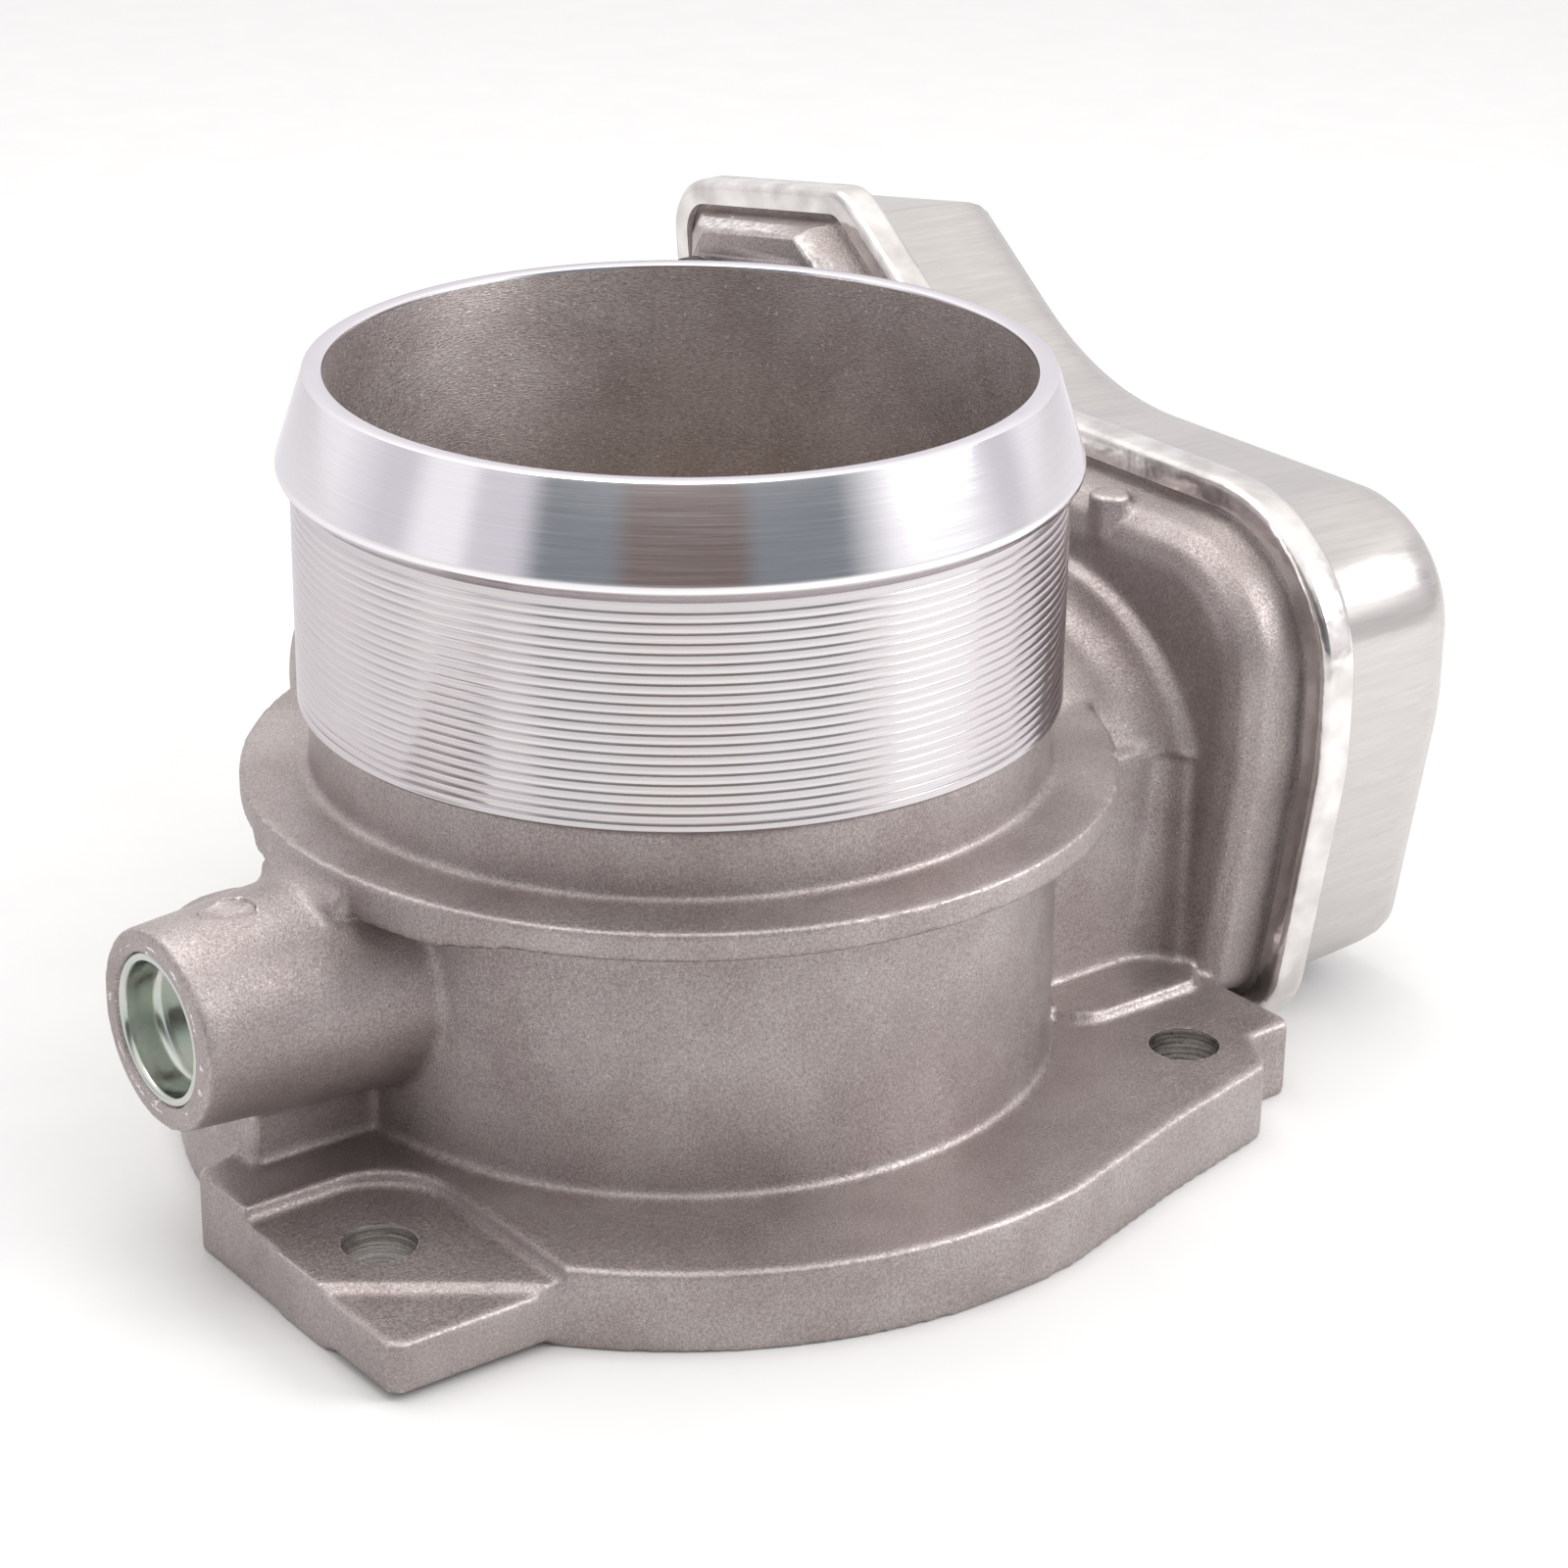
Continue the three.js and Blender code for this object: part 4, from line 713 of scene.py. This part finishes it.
def casting():
    solid = join(turned_body(), flange(), bearing_boss(), collar_root(), drive_drum(), gear_pan())
    relaxed(remeshed(solid, VOXEL), 3)
    join(solid, boss_end())
    join(solid, corner_panel())
    cut(solid, *panel_cuts())
    cut(solid,
        post("ejector_mark", 3.6, SHAFT_Z + BOSS_R + 0.45, SHAFT_Z + 20, -70.3, -0.6),
        post("collar_notch", 1.7, COLLAR_Z[0] - 1, COLLAR_Z[1] + 1, 47.2, -36.6),
        turned("bore", [(0, -5), (BORE_R + 1.2, -5), (BORE_R + 1.2, 0), (BORE_R, 5), (BORE_R, 56),
                        (BORE_R + 2, 56), (BORE_R + 2, 70), (0, 70)]),
        shaft_line(),
        rod("motor_bore", 18.6, MOTOR_TUBE_X + 4, 75, MOTOR_Y, MOTOR_Z),
        box("gasket_plane", -120, 150, -120, 150, -5, 0),
        turned("groove", [(54, -1), (58, -1), (58, 2.6), (54, 2.6), (54, -1)]),
        *[post("bolt", BOLT_R, -5, 30, x, y) for x, y in BOLT_HOLES])
    region = hollow_region()
    inside = copied("cad_inside", frame["nodes"]["throttle_housing"])
    combine("INTERSECT", inside, copied("region", region))
    cut(solid, region)
    join(solid, inside)
    solid.name = "housing_casting"
    dress(solid, "cast", CAST, MACHINED, BORE_WALL)
    for hole_x, hole_y in BOLT_HOLES:
        paint(solid, 1, lambda x, y, z: np.hypot(x - hole_x, y - hole_y) < BOLT_R + 0.05)
    paint(solid, 1, lambda x, y, z: z < 0.01)
    paint(solid, 2, lambda x, y, z: (np.hypot(x, y) < BORE_R + 0.1) & (z > 0.1))
    return mounted(smooth(solid), "housing", "throttle_housing")


def spigot():
    """The turned hose spigot with its grooves, bead and rim, and the cast bore wall inside it."""
    pitch = (GROOVE_TOP_Z - SPIGOT_Z) / (GROOVES + 0.2)
    outside = [(BORE_R + 1.5, 56), (NECK_R - 0.2, 56), (NECK_R - 0.2, SPIGOT_Z),
               (SPIGOT_R - 0.4, SPIGOT_Z), (SPIGOT_R, SPIGOT_Z + 0.4)]
    for i in range(GROOVES):
        z = SPIGOT_Z + pitch * (i + 0.5)
        outside += [(SPIGOT_R - 0.02, z - 0.10 * pitch), (SPIGOT_R, z), (SPIGOT_R, z + 0.30 * pitch),
                    (SPIGOT_R - 0.02, z + 0.38 * pitch), (SPIGOT_R - GROOVE_DEPTH, z + 0.56 * pitch),
                    (SPIGOT_R - GROOVE_DEPTH + 0.02, z + 0.60 * pitch)]
    bead = [(SPIGOT_R, GROOVE_TOP_Z + 0.2), (SPIGOT_R, GROOVE_TOP_Z + 1.0),
            (SPIGOT_R + 0.15, GROOVE_TOP_Z + 1.25), (SPIGOT_R + 0.5, GROOVE_TOP_Z + 1.5),
            (BEAD_R - 0.5, BEAD_Z - 1.35), (BEAD_R - 0.15, BEAD_Z - 1.0), (BEAD_R + 0.1, BEAD_Z - 0.55),
            (BEAD_R + 0.2, BEAD_Z - 0.1), (BEAD_R + 0.18, BEAD_Z + 0.3), (BEAD_R + 0.05, BEAD_Z + 0.8)]
    rim = [(RIM_R, RIM_Z - 0.5), (RIM_R - 0.15, RIM_Z - 0.15), (RIM_R - 0.5, RIM_Z),
           (RIM_BORE_R + 0.5, RIM_Z), (RIM_BORE_R + 0.1, RIM_Z - 0.15), (RIM_BORE_R, RIM_Z - 0.5)]
    inside = [(BORE_R, SPIGOT_Z), (BORE_R, 56), (BORE_R + 1.5, 56)]
    piece = turned("spigot", outside + bead + rim + inside, 288)
    dress(piece, "cast", TURNED, BORE_WALL, SHADED_RIDGES, SHADED_GROOVE_FACES)
    paint(piece, 1, lambda x, y, z: (np.hypot(x, y) < RIM_BORE_R + 0.02) & (z < RIM_Z - 0.4))
    # Painted shade: the outside below the bead takes the darker ridge copy, and the groove floors take
    # the darker groove copy.
    paint(piece, 2, lambda x, y, z: (np.hypot(x, y) > RIM_BORE_R + 0.3) & (z < BEAD_Z - 0.6))
    paint(piece, 3, lambda x, y, z: (np.hypot(x, y) > RIM_BORE_R + 0.3)
          & (np.hypot(x, y) < SPIGOT_R - 0.055) & (z > SPIGOT_Z + 0.2) & (z < GROOVE_TOP_Z))
    return mounted(smooth(piece, 30), "housing", "throttle_housing")


# ---------- bearing boss plug ----------

def cup_plug():
    floor = BOSS_END_X + PLUG_DEPTH - 0.2
    bend = [(8.7 - 1.4 * (1 - math.cos(a)), floor - 1.3 - 1.4 * (1 - math.sin(a)))
            for a in np.linspace(math.pi / 2, 0, 8)]
    piece = turned_along_x("plug", [
        (0, floor - 1.3), *bend[:-1], (8.7, floor - 2.7), (8.75, BOSS_END_X + 1.0),
        (8.9, BOSS_END_X + 0.45), (9.2, BOSS_END_X + 0.2), (9.6, BOSS_END_X + 0.2),
        (9.9, BOSS_END_X + 0.35), (PLUG_R - 0.05, BOSS_END_X + 0.8), (PLUG_R - 0.05, floor - 0.8),
        (PLUG_R - 0.8, floor), (0, floor),
    ], 0, SHAFT_Z)
    dress(piece, "zinc", ZINC)
    return mounted(smooth(piece, 40), "housing", "cup_plug")


# ---------- gear cover ----------

def gear_cover():
    lip = PAN_RIM_X - 0.1
    inner = [(14.0, COVER_END_X - COVER_SHEET), (10.9, COVER_END_X - 1.9), (8.3, COVER_END_X - 4.2),
             (6.8, 100), (5.9, 83.6), (1.2, 80.4), (1.2, lip), (3.8, lip)]
    outer = [(3.8, lip - COVER_SHEET), (1.4, lip - COVER_SHEET), (0.6, lip - 1.05), (0.15, lip - 0.6),
             (0.0, lip), (0.0, 80.4), (0.12, 80.9), (0.45, 81.35), (1.1, 81.7), (2.4, 82.0),
             (3.5, 82.4), (4.2, 83.0), (4.6, 83.9), (4.8, 85.0), (5.3, 95.0), (5.6, 100.2),
             (6.0, 103.0), (6.8, 105.2), (8.0, 106.9), (9.6, 108.1), (11.4, 108.8), (13.4, COVER_END_X)]
    piece = lofted("cover", housing_rings(inner + outer, 28))
    dress(piece, "stainless", STAINLESS, ROLLED)
    paint(piece, 1, lambda x, y, z: x < 82.0)
    return mounted(smooth(piece, 40), "housing", "gear_cover")


def cover_seal():
    """Sealant and rubber between the pan and the crimped lip."""
    section = [(2.3, 79.35), (7.0, 79.35), (7.0, 80.25), (2.3, 80.25), (2.3, 79.35)]
    piece = lofted("seal", housing_rings(section), capped=False)
    dress(piece, "rubber", RUBBER)
    return mounted(smooth(piece, 40), "housing", "cover_seal")


casting()
spigot()
cup_plug()
gear_cover()
cover_seal()

# ---------- CAD nodes that keep their shape ----------

CARRIED = (
    (STEEL, ["needle_bearing", "bearing_outer_race", "bearing_balls", "bearing_circlip",
             "throttle_shaft", "plate_screw_1", "plate_screw_2", "bearing_inner_race",
             "return_spring", "idler_pin", "motor_armature", "wave_washer"]),
    (ZINC, ["motor_can", "motor_bracket", "bracket_screw_1", "bracket_screw_2", "carrier_screw_1",
            "carrier_screw_2", "carrier_screw_3", "carrier_screw_4", "connector_screw_1",
            "connector_screw_2"]),
    (BRASS, ["throttle_plate", "motor_pinion"]),
    (RUBBER, ["shaft_seal_idle", "shaft_seal_drive", "flange_gasket"]),
    (BLACK_PLASTIC, ["spring_bush", "motor_end_cap", "sensor_carrier", "position_sensor",
                     "connector_shell"]),
    (GEAR_PLASTIC, ["sector_gear", "idler_gear"]),
    (MAGNET, ["sensor_magnet", "motor_magnet_upper", "motor_magnet_lower"]),
    (BOARD, ["sensor_board"]),
    (CONTACT, [f"terminal_pin_{i}" for i in range(1, 7)]),
)


def carried(node, material):
    """The CAD node with its material and a small bevel on its sharp edges."""
    for place in node.material_slots:
        place.link = "OBJECT"
        place.material = material
    bevel = node.modifiers.new("edge", "BEVEL")
    bevel.width = 0.15 * MM
    bevel.segments = 2
    bevel.limit_method = "ANGLE"
    bevel.angle_limit = math.radians(38)


for material, names in CARRIED:
    for name in names:
        carried(frame["nodes"][name], material)

# ---------- floor, light and camera ----------

CAMERA_AT = (-294.9, -405.1, 258.63)
CAMERA_FORWARD = Vector((0.5625, 0.7293, -0.3896))
CAMERA_ROLL = 0.012
CAMERA_LENS = 92.78
AIM = (0, 0, 50)


def floor():
    half = 4000
    corners = [(-half, -half, 0), (half, -half, 0), (half, half, 0), (-half, half, 0)]
    piece = object_from("floor", corners, [(0, 1, 2, 3)])
    look = Shader("pale_floor", Metallic=0.0, Roughness=0.7)
    look.feed(look.ramp(look.noise(60, 3), (0.3, 0.72), (0.7, 0.74)), "Base Color")
    piece.data.materials.append(look.material)


def camera():
    forward = CAMERA_FORWARD.normalized()
    right = forward.cross(Vector((0, 0, 1))).normalized()
    up = right.cross(forward)
    across = right * math.cos(CAMERA_ROLL) + up * math.sin(CAMERA_ROLL)
    above = up * math.cos(CAMERA_ROLL) - right * math.sin(CAMERA_ROLL)
    lens = bpy.data.cameras.new("camera")
    lens.lens = CAMERA_LENS
    lens.sensor_width = 36
    lens.clip_start = 0.01
    eye = bpy.data.objects.new("camera", lens)
    turn = Matrix((across, above, -forward)).transposed()
    eye.matrix_world = Matrix.Translation(Vector(to_frame(CAMERA_AT))) @ turn.to_4x4()
    bpy.context.scene.collection.objects.link(eye)
    bpy.context.scene.camera = eye


def softbox(name, place, side, power):
    """Square area light at place, facing AIM, in mm and watts."""
    lamp = bpy.data.lights.new(name, "AREA")
    lamp.shape = "SQUARE"
    lamp.size = side * MM
    lamp.energy = power
    light = bpy.data.objects.new(name, lamp)
    start = Vector(to_frame(place))
    turn = (Vector(to_frame(AIM)) - start).to_track_quat("-Z", "Y")
    light.matrix_world = Matrix.Translation(start) @ turn.to_matrix().to_4x4()
    bpy.context.scene.collection.objects.link(light)


# A light tent of white cloth. TENT goes round the horizon by azimuth in degrees. The camera looks
# in through a dark opening near azimuth -128, and the cloth has grey folds at its corners.
CLOTH = (0.96, 0.94, 0.96)
FOLD = (0.68, 0.65, 0.70)
FLANK = (0.21, 0.23, 0.25)
OPENING = (0.18, 0.14, 0.13)
TENT = (
    (-180, FOLD), (-172, FOLD), (-165, FLANK), (-146, FLANK), (-140, OPENING), (-110, OPENING),
    (-104, FLANK), (-80, FLANK), (-65, CLOTH), (-40, CLOTH), (-24, FOLD), (-18, FOLD), (-8, CLOTH),
    (120, CLOTH), (142, FOLD), (150, FOLD), (158, CLOTH), (170, CLOTH), (175, FOLD),
)
TENT_TOP = (1.26, 1.24, 1.22)
TENT_STRENGTH = 1.0


def sky():
    world = bpy.data.worlds.new("studio")
    bpy.context.scene.world = world
    world.use_nodes = True
    tree = world.node_tree
    place = tree.nodes.new("ShaderNodeTexCoord")
    split = tree.nodes.new("ShaderNodeSeparateXYZ")
    tree.links.new(place.outputs["Generated"], split.inputs["Vector"])
    azimuth = tree.nodes.new("ShaderNodeMath")
    azimuth.operation = "ARCTAN2"
    tree.links.new(split.outputs["Y"], azimuth.inputs[0])
    tree.links.new(split.outputs["X"], azimuth.inputs[1])
    share = tree.nodes.new("ShaderNodeMapRange")
    share.inputs["From Min"].default_value = -math.pi
    share.inputs["From Max"].default_value = math.pi
    tree.links.new(azimuth.outputs[0], share.inputs["Value"])
    walls = tree.nodes.new("ShaderNodeValToRGB")
    tree.links.new(share.outputs["Result"], walls.inputs["Fac"])
    while len(walls.color_ramp.elements) < len(TENT):
        walls.color_ramp.elements.new(0.5)
    for point, (degrees, colour) in zip(walls.color_ramp.elements, TENT):
        point.position = (degrees + 180) / 360
        point.color = (*colour, 1)
    rise = tree.nodes.new("ShaderNodeMapRange")
    rise.interpolation_type = "SMOOTHSTEP"
    rise.inputs["From Min"].default_value = 0.3
    rise.inputs["From Max"].default_value = 0.75
    tree.links.new(split.outputs["Z"], rise.inputs["Value"])
    blend = tree.nodes.new("ShaderNodeMix")
    blend.data_type = "RGBA"
    tree.links.new(rise.outputs["Result"], blend.inputs[0])
    tree.links.new(walls.outputs["Color"], blend.inputs[6])
    blend.inputs[7].default_value = (*TENT_TOP, 1)
    tree.links.new(blend.outputs[2], tree.nodes["Background"].inputs["Color"])
    tree.nodes["Background"].inputs["Strength"].default_value = TENT_STRENGTH


floor()
camera()
sky()
softbox("top", (0, 150, 700), 500, 2.0)
softbox("key", (390, -430, 390), 300, 2.2)
bpy.context.scene.view_settings.view_transform = "Standard"
